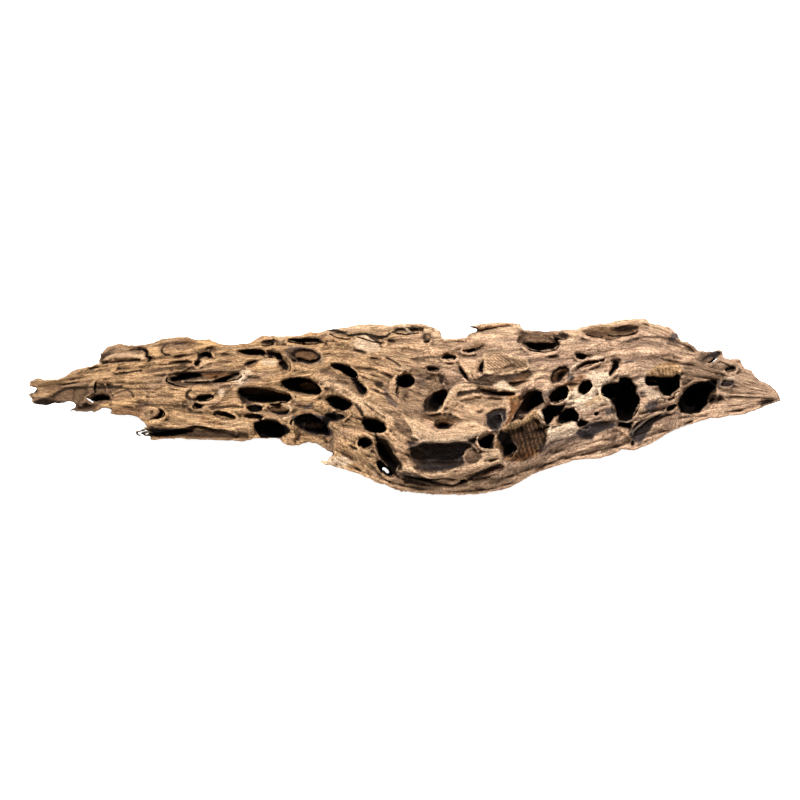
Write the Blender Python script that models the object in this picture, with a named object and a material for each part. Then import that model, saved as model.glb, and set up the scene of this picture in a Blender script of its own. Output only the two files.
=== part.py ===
"""Honeycomb driftwood: one slab of weathered timber, riddled by shipworm burrows.

The slab is a loft through sections across its length. Its outline is drawn as it is
seen from a low viewpoint in front, in pixels of that view, and turned into real sizes
by one scale. Ridges and splinters are joined on, and the burrows are cut out of it.

Run with: blender --background --python part.py
Units are metres, +X runs along the grain, +Y away from the viewer and +Z up.
"""

import math
import random
from dataclasses import dataclass

import bmesh
import bpy
import numpy as np
from mathutils import Matrix, Vector, noise
from mathutils.bvhtree import BVHTree

# Driving sizes
LENGTH = 0.453
PIXELS_ACROSS = 755
PIXEL = LENGTH / PIXELS_ACROSS
EYE_ELEVATION = math.radians(30)
MIDDLE_COLUMN = 404.5
LOWEST_ROW = 496.0

# How the slab is divided
CALM_REACH = 22
FRONT_POINTS = 3
TOP_POINTS = 10
BACK_POINTS = 3
UNDER_POINTS = 6

# The outline: column, row of the upper edge, row of the lower edge
OUTLINE = [
    (27, 382, 386), (30, 379.5, 402), (36, 377, 403.5), (44, 378.5, 405.5), (56, 379.5, 402),
    (66, 375, 402), (73, 368.5, 404), (76, 367.5, 413), (84, 366.5, 413), (91, 365, 412.5),
    (96, 363.5, 409.5), (99, 361, 408.5), (101, 352, 408), (106, 346.5, 409.5),
    (112, 344, 415), (120, 343.5, 416.5), (130, 344, 416), (138, 344, 420.5),
    (146, 343, 427.5), (149, 342.5, 438), (156, 341, 441), (166, 337, 441), (182, 335.5, 440.5),
    (198, 338, 440.5), (210, 338, 441), (218, 342.5, 441.5), (230, 344, 441), (242, 342.5, 443),
    (250, 342, 442.5), (255, 339, 440), (264, 334.5, 439), (277, 334, 440), (283, 335, 444.5),
    (294, 335, 446.5), (300, 334.5, 443), (310, 331, 441.5), (320, 331, 444.5),
    (328, 328, 451), (334, 328.5, 468), (344, 326.5, 470.5), (356, 324, 473.5),
    (368, 322.3, 478), (380, 323, 482.5), (392, 324, 488.5), (406, 324.5, 491.5),
    (420, 323, 494), (434, 326.5, 494), (441, 330, 494.5), (444, 338, 495), (456, 337, 496),
    (465, 337, 496), (470, 331, 495), (474, 325, 495), (484, 323.8, 494.5), (498, 322, 491.5),
    (512, 322.5, 488), (520, 323, 485), (524, 328, 482.5), (532, 328.8, 477.5),
    (546, 330.5, 470), (560, 329, 465.5), (574, 328, 461.5), (588, 324, 460), (600, 322, 460),
    (612, 322, 455.5), (616, 319.5, 453.5), (626, 318, 450.5), (636, 317.5, 451.5),
    (646, 317.5, 447.5), (651, 322, 445.5), (662, 324, 439.5), (672, 328, 433.5),
    (679, 333.5, 430), (682, 339.5, 428), (691, 343.5, 425), (699, 350, 422.5),
    (712, 350, 419), (720, 349.5, 419.5), (728, 357.5, 417.5), (740, 358.5, 416),
    (745, 365, 415.5), (752, 369, 413.5), (758, 377, 411), (768, 384, 407), (777, 392, 405),
    (781, 399.5, 403),
]

# Heights above the ground along the slab: column, metres
CREST = [(27, 0.021), (100, 0.029), (200, 0.036), (300, 0.044), (370, 0.050), (520, 0.051),
         (600, 0.054), (650, 0.054), (690, 0.044), (725, 0.035), (760, 0.026), (781, 0.0205)]
SHOULDER = [(27, 0.018), (100, 0.016), (200, 0.0145), (250, 0.017), (300, 0.021), (350, 0.027),
            (400, 0.033), (440, 0.036), (500, 0.033), (550, 0.026), (600, 0.022), (650, 0.019),
            (700, 0.018), (781, 0.018)]
LIFT = [(27, 0.014), (70, 0.010), (150, 0.008), (250, 0.007), (330, 0.005), (400, 0.004),
        (450, 0.004), (520, 0.004), (600, 0.005), (650, 0.007), (720, 0.010), (781, 0.0145)]
BACK_FOOT = [(27, 0.015), (120, 0.011), (220, 0.007), (330, 0.005), (450, 0.004), (560, 0.005),
             (660, 0.008), (730, 0.013), (781, 0.016)]
BELLY = [(27, 0.012), (120, 0.005), (190, 0.001), (260, -0.001), (420, -0.001), (560, -0.001),
         (630, 0.001), (710, 0.007), (781, 0.013)]


@dataclass(frozen=True)
class Swell:
    """A broad rise of the upper face, or a hollow where rise is below zero.

    Places and half sizes are in pixels of the view, the tilt in degrees clockwise,
    the rise in metres.
    """

    column: float
    row: float
    half_long: float
    half_wide: float
    tilt: float
    rise: float


SWELLS = [
    Swell(128, 352, 32, 7, 0, 0.0030),
    Swell(140, 364, 45, 4, -2, -0.0025),
    Swell(90, 376, 45, 7, 0, 0.0015),
    Swell(90, 398, 26, 9, 0, -0.0050),
    Swell(165, 398, 30, 6, 0, 0.0015),
    Swell(215, 420, 40, 6, 3, 0.0025),
    Swell(262, 377, 40, 6, 6, 0.0020),
    Swell(360, 345, 34, 12, 8, 0.0040),
    Swell(345, 390, 34, 6, 32, 0.0030),
    Swell(392, 418, 40, 6, 38, 0.0035),
    Swell(422, 385, 30, 24, 0, -0.0080),
    Swell(500, 362, 30, 10, -4, 0.0035),
    Swell(500, 380, 36, 6, -2, -0.0055),
    Swell(560, 372, 40, 12, -25, 0.0025),
    Swell(598, 400, 26, 12, -25, 0.0025),
    Swell(615, 345, 75, 9, -4, 0.0030),
    Swell(590, 430, 42, 5, -10, -0.0035),
    Swell(610, 447, 60, 6, -16, 0.0020),
    Swell(700, 372, 30, 10, 10, 0.0030),
    Swell(650, 405, 14, 8, -20, 0.0020),
    Swell(745, 395, 30, 12, 20, 0.0015),
]


@dataclass(frozen=True)
class Burrow:
    """One shipworm burrow, as its mouth is seen: half sizes in pixels, tilt in degrees clockwise.

    deep is its reach into the wood in metres, lean the degrees that it turns towards +X,
    and dip the degrees that it runs downwards.
    """

    column: float
    row: float
    half_long: float
    half_wide: float
    tilt: float
    deep: float
    lean: float = 0.0
    dip: float = 38.0


# Burrows of the left arm
ARM_BURROWS = [
    Burrow(99, 397.5, 13, 5, -4, 0.010, -25),
    Burrow(88, 407, 9, 3.0, 0, 0.006, 0, -4),
    Burrow(204, 355, 8.5, 5, 8, 0.010, 20),
    Burrow(197, 363, 4, 4.5, -50, 0.008, 0),
    Burrow(186, 379.5, 22, 8, 0, 0.013, -35),
    Burrow(222, 377.5, 21, 5, -4, 0.011, 30),
    Burrow(205, 398, 10.5, 4, -12, 0.010, 20),
    Burrow(197, 406.5, 5.5, 3.2, 0, 0.009, -15),
    Burrow(157, 413.5, 8.5, 6, -12, 0.010, 20),
    Burrow(224, 415.5, 13, 4, 14, 0.007, 10, 20),
    Burrow(254, 416.5, 11, 3.6, 4, 0.008, 10),
    Burrow(181, 365.5, 10, 4, -12, 0.006, 0),
    Burrow(190, 434, 48, 4.6, 0, 0.008, 0, -4),
]

# Burrows between the arm and the bowl
SHOULDER_BURROWS = [
    Burrow(251, 353.5, 16, 4.2, 2, 0.012, 20),
    Burrow(267, 343.2, 8, 3.4, -8, 0.010, 10, 66),
    Burrow(304, 340.8, 19, 3.4, 2, 0.012, 10, 72),
    Burrow(275, 356, 12, 3.2, 8, 0.009, 0),
    Burrow(285.5, 363.5, 4.5, 9.5, -25, 0.010, 15),
    Burrow(252, 364.8, 7, 3.2, -12, 0.007, 0),
    Burrow(306, 356, 15.5, 7.4, 10, 0.0075, 0),
    Burrow(301, 387.5, 20.5, 8.8, 10, 0.015, 20),
    Burrow(266, 396, 29, 8, 5, 0.014, 30),
    Burrow(254.5, 408.5, 8.6, 5, 2, 0.017, -10, 12),
    Burrow(278, 410.3, 12, 5.4, 8, 0.017, 10, 12),
    Burrow(273.5, 430, 20, 10, 6, 0.022, -5, -2),
    Burrow(308, 421, 18.5, 7, 4, 0.020, 0, 4),
    Burrow(318, 429, 15.5, 8.4, 8, 0.022, 15, 2),
    Burrow(336, 417.3, 11, 5.6, 0, 0.019, 25, 10),
    Burrow(344, 371.5, 15.5, 6.6, 24, 0.018, 20),
    Burrow(360, 387, 12.5, 4.6, 48, 0.011, 10),
    Burrow(340, 403.5, 13.5, 7, 10, 0.020, 10),
    Burrow(358, 411, 9, 3, 44, 0.006, 0),
    Burrow(374.5, 425.5, 13.4, 7.2, 18, 0.022, 10),
    Burrow(365.5, 444, 8.6, 6, 0, 0.018, -10),
    Burrow(387, 452, 19, 8.6, 58, 0.018, 0),
    Burrow(385.5, 469, 12, 5, 44, 0.030, 0),
    Burrow(340, 335, 13, 3.6, 18, 0.010, 10, 72),
    Burrow(371, 338, 17, 3, 12, 0.007, 0, 66),
    Burrow(406, 331.5, 15, 3.2, 0, 0.007, 0, 84),
    Burrow(426, 338.5, 4.6, 4.4, 0, 0.008, 0, 80),
    Burrow(380.5, 385.5, 8.5, 3.6, 40, 0.008, 0),
]

# Burrows of the bowl and the knot behind it
BOWL_BURROWS = [
    Burrow(405, 381.3, 10.2, 7.2, 0, 0.024, -10),
    Burrow(448.5, 356.8, 9, 3.8, 0, 0.012, 10),
    Burrow(471, 349.8, 9.6, 3.4, -4, 0.009, -10),
    Burrow(433, 368.8, 7.6, 3.4, 8, 0.010, 0),
    Burrow(441.2, 380, 2.6, 5, 0, 0.007, 0),
    Burrow(436.5, 400.5, 14, 11, -44, 0.022, 15),
    Burrow(443.5, 425, 9.8, 5.2, 0, 0.012, 0),
    Burrow(492, 420, 10, 9, -40, 0.014, 20),
    Burrow(486.5, 440, 9.2, 8.8, -30, 0.020, -10),
    Burrow(507, 447, 8.4, 11.4, 0, 0.020, 10),
    Burrow(531, 403, 13.6, 13, -40, 0.022, 10),
    Burrow(466, 372, 5.6, 10.6, -24, 0.009, 0),
    Burrow(482, 368, 3, 8, 14, 0.007, 0),
    Burrow(510, 376, 24, 4.6, -4, 0.009, 0),
    Burrow(495, 393.4, 24, 2.4, 3, 0.006, 0),
]

# Burrows of the right side
RIGHT_BURROWS = [
    Burrow(540.5, 343.5, 20, 8.6, 2, 0.015, 0, 58),
    Burrow(560, 336, 8, 4.2, 14, 0.008, 0, 68),
    Burrow(581, 356.3, 6.2, 3.6, 8, 0.009, 0),
    Burrow(560, 376, 11.4, 7.4, -34, 0.009, 10),
    Burrow(588, 364.2, 15.5, 2.6, -17, 0.007, 0),
    Burrow(613.5, 369.5, 9.6, 4, -60, 0.009, 0),
    Burrow(585.5, 388, 9, 5, -46, 0.016, 10),
    Burrow(559, 394.5, 12, 7, -42, 0.020, 10),
    Burrow(549, 413.5, 12.4, 9.6, 20, 0.022, -10),
    Burrow(567.5, 416.2, 11.4, 7.6, -14, 0.020, 15),
    Burrow(583, 424.5, 7.4, 5, 10, 0.009, 0),
    Burrow(611, 390, 11.4, 8.6, -6, 0.024, -10),
    Burrow(625.5, 385, 6.8, 8, 0, 0.024, 0),
    Burrow(625.5, 403.5, 14.6, 17, 12, 0.028, 10),
    Burrow(625, 424, 8.6, 7.6, 0, 0.020, 0),
    Burrow(623, 331.5, 17.5, 5.2, -7, 0.012, 10, 72),
    Burrow(592, 333.5, 13, 3.4, 12, 0.006, 0, 60),
    Burrow(596.5, 413.5, 4.6, 2.6, -24, 0.008, 0),
    Burrow(668, 370, 12, 8, 0, 0.007, 0),
    Burrow(653, 381.5, 8.8, 5.2, 0, 0.016, -15),
    Burrow(668.5, 385, 11.8, 11.6, -10, 0.020, 10),
    Burrow(672, 398.2, 6, 2.4, -32, 0.010, 0),
    Burrow(671.2, 408, 6.8, 3, -28, 0.011, 0),
    Burrow(697.5, 397.8, 21.5, 15.6, -26, 0.016, 10, 18),
    Burrow(717, 400.5, 9.5, 4, 4, 0.008, 30),
    Burrow(713.5, 357, 8.4, 3.6, -34, 0.007, 0, 70),
    Burrow(731, 369.5, 7.2, 2.7, -8, 0.006, 0, 50),
    Burrow(648, 426, 20, 4.6, -34, 0.009, 0, 10),
    Burrow(727, 383.5, 8, 3.6, -4, 0.005, 0),
]

# Hollows worn between the ridges: the bowl, the recess under its lip and the furrows of the keel
HOLLOWS = [
    Burrow(478, 410, 38, 15, -6, 0.007, 0),
    Burrow(443, 455.5, 38, 14.5, 2, 0.014, 0, 4),
    Burrow(436, 481, 38, 5, 5, 0.008, 0, 2),
    Burrow(484, 473, 24, 6, -18, 0.007, 0, 6),
    Burrow(524, 436, 22, 20, 0, 0.015, 0, 14),
    Burrow(421, 388, 30, 20, 0, 0.006, 0),
]


@dataclass(frozen=True)
class Ridge:
    """A raised edge along a line of places in the view, with its half thickness in metres.

    rise lifts its middle line off the wood, towards the eye.
    """

    places: tuple
    half_thick: float
    rise: float = 0.0


RIDGES = [
    # the bowl's back rim
    Ridge(((443, 411), (446, 403), (451, 394), (458, 387.5), (470, 384.5), (484, 387),
           (500, 389), (514, 392), (524, 388), (532, 383)), 0.0020, 0.0012),
    # the bowl's front lip
    Ridge(((403, 417), (410, 426), (420, 434), (434, 438.5), (450, 439), (466, 436),
           (480, 432), (487, 430)), 0.0026, 0.0010),
    # the ridge along the belly
    Ridge(((396, 470), (414, 473.5), (432, 475.5), (450, 475), (466, 472), (482, 466),
           (500, 460.5)), 0.0021, 0.0008),
]

# Splinters that stand out of the outline: root and tip as column and row, half thickness at the root
SPLINTERS = [
    ((338, 464), (312, 462), 0.0024),
    ((156, 433), (136, 433.5), 0.0022),
    ((82, 410.5), (66, 412), 0.0014),
    ((118, 411), (104, 413.5), 0.0014),
    ((486, 326.5), (469, 326), 0.0013),
    ((36, 398.5), (28, 393.5), 0.0022),
    ((298, 441), (281, 443.2), 0.0016),
]

# Burrows of the hidden faces, placed by a seeded rule
HIDDEN_SEED = 11
UNDER_BURROWS = 26
BACK_BURROWS = 22
REST_SPOTS = [(-0.075, 0.060), (0.020, 0.030), (0.075, 0.060)]
REST_SPOT_RADIUS = 0.014
EDGE_MARGIN = 0.003

# The mesh is lightened by shrinking its shortest edges, in rounds of growing length
WANTED_TRIANGLES = 11400
ROUNDS = 8
SHORT_EDGES = [0.0003, 0.0006, 0.0009, 0.0012, 0.0015, 0.0018, 0.0022]

WOOD_COLOUR = (0.52, 0.36, 0.22, 1.0)
WOOD_ROUGHNESS = 0.85


@dataclass(frozen=True)
class View:
    """A direction to look in: right and up in the picture, and into it."""

    right: Vector
    up: Vector
    into: Vector

    def start(self, across, above):
        """A point well in front of the wood, from which the line of sight starts."""
        return self.right * across + self.up * above - self.into * 0.6


RISE, LEVEL = math.sin(EYE_ELEVATION), math.cos(EYE_ELEVATION)
FRONT_VIEW = View(Vector((1, 0, 0)), Vector((0, RISE, LEVEL)), Vector((0, LEVEL, -RISE)))
UNDER_VIEW = View(Vector((1, 0, 0)), Vector((0, -1, 0)), Vector((0, 0, 1)))
BACK_VIEW = View(Vector((-1, 0, 0)), Vector((0, 0, 1)), Vector((0, -1, 0)))


def along(curve, column):
    """The value of a height curve at a column of the view."""
    columns, values = zip(*curve)
    return float(np.interp(column, columns, values))


def across_of(column):
    return (column - MIDDLE_COLUMN) * PIXEL


def above_of(row):
    return (LOWEST_ROW - row) * PIXEL


def depth_of(row, height):
    """The distance back of a point that is seen at a row and stands at a height."""
    return (above_of(row) - height * LEVEL) / RISE


def row_of(depth, height):
    """The row at which a point at that depth and height is seen."""
    return LOWEST_ROW - (depth * RISE + height * LEVEL) / PIXEL


def swell_at(column, row):
    """The rise of the upper face at a place in the view, in metres."""
    total = 0.0
    for swell in SWELLS:
        tilt = math.radians(swell.tilt)
        across, down = column - swell.column, row - swell.row
        long_way = (across * math.cos(tilt) + down * math.sin(tilt)) / swell.half_long
        wide_way = (down * math.cos(tilt) - across * math.sin(tilt)) / swell.half_wide
        total += swell.rise * math.exp(-(long_way**2 + wide_way**2))
    return total


def unevenness(place, size, reach):
    """Natural unevenness at a point, drawn out along the grain."""
    return reach * noise.noise(Vector((place[0] / (3 * size), place[1] / size, place[2] / size)))


def edges_at(column, upper_row, lower_row):
    """Depths of the front foot and of the crest at one column."""
    front = depth_of(lower_row, along(LIFT, column))
    return front, max(depth_of(upper_row, along(CREST, column)), front + 0.004)


def calm_edges(column):
    """The same depths averaged over the columns nearby, so that a notch stays at the edge."""
    found = []
    for place in np.linspace(column - CALM_REACH, column + CALM_REACH, 9):
        place = float(np.clip(place, OUTLINE[0][0], OUTLINE[-1][0]))
        upper = float(np.interp(place, *zip(*[(c, u) for c, u, _ in OUTLINE])))
        lower = float(np.interp(place, *zip(*[(c, w) for c, _, w in OUTLINE])))
        found.append(edges_at(place, upper, lower))
    return np.mean(found, axis=0)


def section(column, upper_row, lower_row):
    """The points round the slab at one column, as (depth, height), from the front foot upwards."""
    crest, shoulder, lift = (along(curve, column) for curve in (CREST, SHOULDER, LIFT))
    front, back = edges_at(column, upper_row, lower_row)
    calm_front, calm_back = calm_edges(column)
    span = back - front
    shoulder = min(shoulder, lift + 0.6 * span + 0.002, crest)
    set_back = min(0.005, 0.2 * span)
    points = []
    for step in range(FRONT_POINTS):
        share = step / FRONT_POINTS
        points.append((front + set_back * share**2, lift + (shoulder - lift) * share))
    for step in range(TOP_POINTS):
        share = step / (TOP_POINTS - 1)
        middle = min(1.0, 4 * share, 4 * (1 - share))
        near = front + (max(calm_front, front) - front) * middle
        far = back + (calm_back - back) * middle
        depth = near + set_back + (far - near - set_back) * share
        height = shoulder + (crest - shoulder) * math.sin(share * math.pi / 2) ** 0.9
        fade = min(1.0, 6 * share, 6 * (1 - share))
        points.append((depth, height + fade * swell_at(column, row_of(depth, height))))
    foot = along(BACK_FOOT, column)
    rear = calm_back
    for step in range(1, BACK_POINTS + 1):
        share = (step / BACK_POINTS) ** 1.6
        bulge = 0.05 * math.sin(math.pi * share) - 0.10 * share**2
        points.append((rear + bulge * span, crest + (foot - crest) * share))
    rear, belly = points[-1][0], along(BELLY, column)
    for step in range(1, UNDER_POINTS + 1):
        share = step / (UNDER_POINTS + 1)
        sag = min(1.0, 4.5 * share * (1 - share))
        straight = foot + (lift - foot) * share
        points.append((rear + (front - rear) * share, straight * (1 - sag) + belly * sag))
    return points


def loft(rings):
    """A closed skin over a row of rings, each a list of points, with a flat cap at both ends."""
    mesh = bmesh.new()
    rows = [[mesh.verts.new(point) for point in ring] for ring in rings]
    for row, following in zip(rows, rows[1:]):
        for index, vertex in enumerate(row):
            after = (index + 1) % len(row)
            mesh.faces.new((vertex, row[after], following[after], following[index]))
    mesh.faces.new(rows[0][::-1])
    mesh.faces.new(rows[-1])
    bmesh.ops.triangulate(mesh, faces=mesh.faces)
    bmesh.ops.recalc_face_normals(mesh, faces=mesh.faces)
    if mesh.calc_volume(signed=True) < 0:
        bmesh.ops.reverse_faces(mesh, faces=mesh.faces)
    return mesh


def add_object(name, mesh, collection):
    """An object from a bmesh, in its collection."""
    data = bpy.data.meshes.new(name)
    mesh.to_mesh(data)
    mesh.free()
    made = bpy.data.objects.new(name, data)
    collection.objects.link(made)
    return made


def new_collection(name, helper=False):
    made = bpy.data.collections.new(name)
    bpy.context.scene.collection.children.link(made)
    made.hide_render = helper
    return made


def slab(collection):
    """The slab before the burrows: a loft of its sections, flat where it rests."""
    rings = []
    for column, upper_row, lower_row in OUTLINE:
        x = across_of(column)
        ring = []
        for index, (depth, height) in enumerate(section(column, upper_row, lower_row)):
            inner = FRONT_POINTS < index < FRONT_POINTS + TOP_POINTS - 1
            behind = index >= FRONT_POINTS + TOP_POINTS
            if inner:
                height += unevenness((x, depth, height), 0.012, 0.0016)
            if behind:
                height += unevenness((x, depth, 0.3), 0.013, 0.0070)
            ring.append((x, depth, max(height, 0.0)))
        rings.append(ring)
    return add_object("wood", loft(rings), collection)


def tree_of(made):
    """A search tree of an object's faces, for finding where a line of sight meets it."""
    mesh = bmesh.new()
    mesh.from_mesh(made.data)
    tree = BVHTree.FromBMesh(mesh)
    mesh.free()
    return tree


def meet(tree, view, across, above):
    """Where a line of sight meets the wood, and the outward normal there."""
    point, normal, _, _ = tree.ray_cast(view.start(across, above), view.into)
    return point, normal


def surface_at(tree, view, across, above, half_long, half_wide):
    """The place on the wood, with its normal averaged over a mouth of that half size."""
    point, normal = meet(tree, view, across, above)
    if point is None:
        return None, None
    total = normal.copy()
    for right, up in ((1, 0), (-1, 0), (0, 1), (0, -1)):
        beside, tilted = meet(tree, view, across + right * half_long, above + up * half_wide)
        if beside is not None and (beside - point).length < 3 * max(half_long, half_wide):
            total += tilted
    return point, total.normalized()


def cutter_rings(view, point, normal, sizes, tilt, deep, axis, seed):
    """The rings of a burrow: its mouth lies in the wood's surface and looks like its ellipse."""
    facing = min(view.into.dot(normal), -0.4)
    shallow, large = deep < 0.9 * min(sizes), max(sizes) > 0.007
    if shallow:
        profile = [(-0.004, 1.06), (0.6 * deep, 0.72), (deep, 0.3)]
    elif large:
        profile = [(-0.005, 1.06), (0.45 * deep, 0.93), (0.8 * deep, 0.74), (deep, 0.34)]
    else:
        profile = [(-0.004, 1.06), (0.65 * deep, 0.86), (deep, 0.4)]
    sides = 6 + (1 if max(sizes) > 0.004 else 0) + (2 if large else 0)
    rings = []
    for step, (reach, scale) in enumerate(profile):
        ring = []
        for side in range(sides):
            turn = 2 * math.pi * side / sides
            wobble = 1 + 0.16 * noise.noise(
                Vector((math.cos(turn) * 1.3 + seed, math.sin(turn) * 1.3, 0.6 * step))
            )
            long_way = sizes[0] * scale * wobble * math.cos(turn)
            wide_way = sizes[1] * scale * wobble * math.sin(turn)
            right = long_way * math.cos(tilt) + wide_way * math.sin(tilt)
            up = wide_way * math.cos(tilt) - long_way * math.sin(tilt)
            flat = view.right * right + view.up * up
            ring.append(point + flat - view.into * (flat.dot(normal) / facing) + axis * reach)
        rings.append(ring)
    return rings


def front_cutters(tree, burrows, collection):
    """The cutters of the burrows that are seen from the front."""
    for number, burrow in enumerate(burrows):
        across, above = across_of(burrow.column), above_of(burrow.row)
        sizes = (burrow.half_long * PIXEL, burrow.half_wide * PIXEL)
        point, normal = surface_at(tree, FRONT_VIEW, across, above, *sizes)
        if point is None:
            raise ValueError(f"the burrow at {burrow.column}, {burrow.row} misses the wood")
        lean, dip = math.radians(burrow.lean), math.radians(burrow.dip)
        axis = Vector((math.sin(lean), math.cos(lean) * math.cos(dip), -math.sin(dip)))
        rings = cutter_rings(
            FRONT_VIEW, point, normal, sizes, math.radians(burrow.tilt),
            burrow.deep, axis.normalized(), 7.3 * number,
        )
        add_object(f"burrow {number}", loft(rings), collection)


def well_inside(tree, view, across, above, point, reach):
    """Whether the wood goes on all round a place, without an edge near it."""
    for turn in range(8):
        right, up = math.cos(turn * math.pi / 4), math.sin(turn * math.pi / 4)
        beside, _ = meet(tree, view, across + right * reach, above + up * reach)
        if beside is None or abs((beside - point).dot(view.into)) > 1.2 * reach:
            return False
    return True


def hidden_cutters(tree, collection):
    """The cutters of the back and the underside, placed by the seeded rule."""
    chance = random.Random(HIDDEN_SEED)
    placed = []
    wanted = [(UNDER_VIEW, UNDER_BURROWS), (BACK_VIEW, BACK_BURROWS)]
    for view, count in wanted:
        made = 0
        for attempt in range(40 * count):
            if made == count:
                break
            across = chance.uniform(-0.20, 0.20)
            above = chance.uniform(-0.10, 0.0) if view is UNDER_VIEW else chance.uniform(0.006, 0.046)
            half_long = chance.choice([0.003, 0.005, 0.007, 0.010, 0.014, 0.020])
            half_wide = min(half_long, chance.uniform(0.0024, 0.0065))
            sizes = (half_long, half_wide)
            deep = chance.uniform(0.006, 0.016)
            tilt = math.radians(chance.uniform(-25, 25))
            lean = math.radians(chance.uniform(-25, 25))
            point, normal = surface_at(tree, view, across, above, *sizes)
            if point is None or normal.dot(view.into) > -0.55:
                continue
            if not well_inside(tree, view, across, above, point, max(sizes) + EDGE_MARGIN):
                continue
            if any((point - other).length < reach + half_long for other, reach in placed):
                continue
            if view is UNDER_VIEW and any(
                math.hypot(point.x - x, point.y - y) < REST_SPOT_RADIUS + half_long
                for x, y in REST_SPOTS
            ):
                continue
            axis = (view.into * 0.65 - normal * 0.35 + view.right * math.tan(lean)).normalized()
            rings = cutter_rings(view, point, normal, sizes, tilt, deep, axis, 3.1 * attempt)
            add_object(f"hidden burrow {len(placed)}", loft(rings), collection)
            placed.append((point, 0.8 * half_long))
            made += 1


def tube(name, places, thicknesses, collection):
    """A round bar along some places, from a curve with a bevel and filled caps."""
    data = bpy.data.curves.new(name, "CURVE")
    data.dimensions = "3D"
    data.bevel_depth = 1.0
    data.bevel_resolution = 1
    data.use_fill_caps = True
    line = data.splines.new("POLY")
    line.points.add(len(places) - 1)
    for point, place, thick in zip(line.points, places, thicknesses):
        point.co = (*place, 1.0)
        point.radius = thick
    curve = bpy.data.objects.new(name + " line", data)
    collection.objects.link(curve)
    bpy.context.view_layer.update()
    graph = bpy.context.evaluated_depsgraph_get()
    mesh = bmesh.new()
    mesh.from_mesh(bpy.data.meshes.new_from_object(curve.evaluated_get(graph)))
    bpy.data.objects.remove(curve)
    bmesh.ops.remove_doubles(mesh, verts=mesh.verts, dist=0.00001)
    bmesh.ops.recalc_face_normals(mesh, faces=mesh.faces)
    return add_object(name, mesh, collection)


def raised_edges(tree, collection):
    """The rims and lips that stand on the wood."""
    for number, ridge in enumerate(RIDGES):
        places, thicknesses = [], []
        for index, (column, row) in enumerate(ridge.places):
            point, _ = meet(tree, FRONT_VIEW, across_of(column), above_of(row))
            places.append(point - FRONT_VIEW.into * ridge.rise)
            at_end = index in (0, len(ridge.places) - 1)
            thicknesses.append(ridge.half_thick * (0.55 if at_end else 1.0))
        tube(f"ridge {number}", places, thicknesses, collection)


def splinters(tree, collection):
    """The splinters that stand out of the outline, each from a root inside the wood."""
    for number, (root, tip, thick) in enumerate(SPLINTERS):
        start, _ = meet(tree, FRONT_VIEW, across_of(root[0]), above_of(root[1]))
        start = start + FRONT_VIEW.into * thick
        step = FRONT_VIEW.right * ((tip[0] - root[0]) * PIXEL)
        step += FRONT_VIEW.up * ((root[1] - tip[1]) * PIXEL)
        places = [start, start + step * 0.55, start + step]
        tube(f"splinter {number}", places, [thick, 0.75 * thick, 0.2 * thick], collection)


def carve(body, tools, operation):
    """Applies one Boolean with every object of a collection, then removes those objects."""
    change = body.modifiers.new(tools.name, "BOOLEAN")
    change.operation = operation
    change.operand_type = "COLLECTION"
    change.collection = tools
    change.solver = "MANIFOLD"
    bpy.context.view_layer.update()
    graph = bpy.context.evaluated_depsgraph_get()
    body.data = bpy.data.meshes.new_from_object(body.evaluated_get(graph))
    body.modifiers.clear()
    for tool in list(tools.objects):
        bpy.data.objects.remove(tool)
    bpy.data.collections.remove(tools)


def islands(mesh):
    """The separate pieces of a bmesh, each as a set of its vertices."""
    left = set(mesh.verts)
    found = []
    while left:
        first = left.pop()
        piece, waiting = {first}, [first]
        while waiting:
            for edge in waiting.pop().link_edges:
                for vertex in edge.verts:
                    if vertex in left:
                        left.remove(vertex)
                        piece.add(vertex)
                        waiting.append(vertex)
        found.append(piece)
    return found


def can_close_up(edge, target):
    """Whether an edge can shrink to a point without a fold or a second surface forming."""
    first, second = edge.verts
    beside = [{link.other_vert(vertex) for link in vertex.link_edges} for vertex in edge.verts]
    if len(beside[0] & beside[1]) != 2:
        return False
    for vertex, other in ((first, second), (second, first)):
        for face in vertex.link_faces:
            if other in face.verts:
                continue
            old = [corner.co for corner in face.verts]
            new = [target if corner is vertex else corner.co for corner in face.verts]
            before = (old[1] - old[0]).cross(old[2] - old[0])
            after = (new[1] - new[0]).cross(new[2] - new[0])
            if after.length < 1e-9 or after.dot(before) < 0.5 * after.length * before.length:
                return False
    return True


def close_short_edges(mesh):
    """Shrinks the shortest edges to points until few enough triangles are left."""
    for shortest in SHORT_EDGES:
        for _ in range(ROUNDS):
            short = sorted(
                (edge for edge in mesh.edges if edge.calc_length() < shortest),
                key=lambda edge: edge.calc_length(),
            )
            spare = (len(mesh.faces) - WANTED_TRIANGLES) // 2
            busy, joined = set(), {}
            for edge in short:
                first, second = edge.verts
                if len(joined) >= spare or first in busy or second in busy:
                    continue
                target = (first.co + second.co) / 2
                if not can_close_up(edge, target):
                    continue
                for vertex in edge.verts:
                    busy.update(link.other_vert(vertex) for link in vertex.link_edges)
                first.co = target
                joined[second] = first
            if not joined:
                break
            bmesh.ops.weld_verts(mesh, targetmap=joined)


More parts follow.
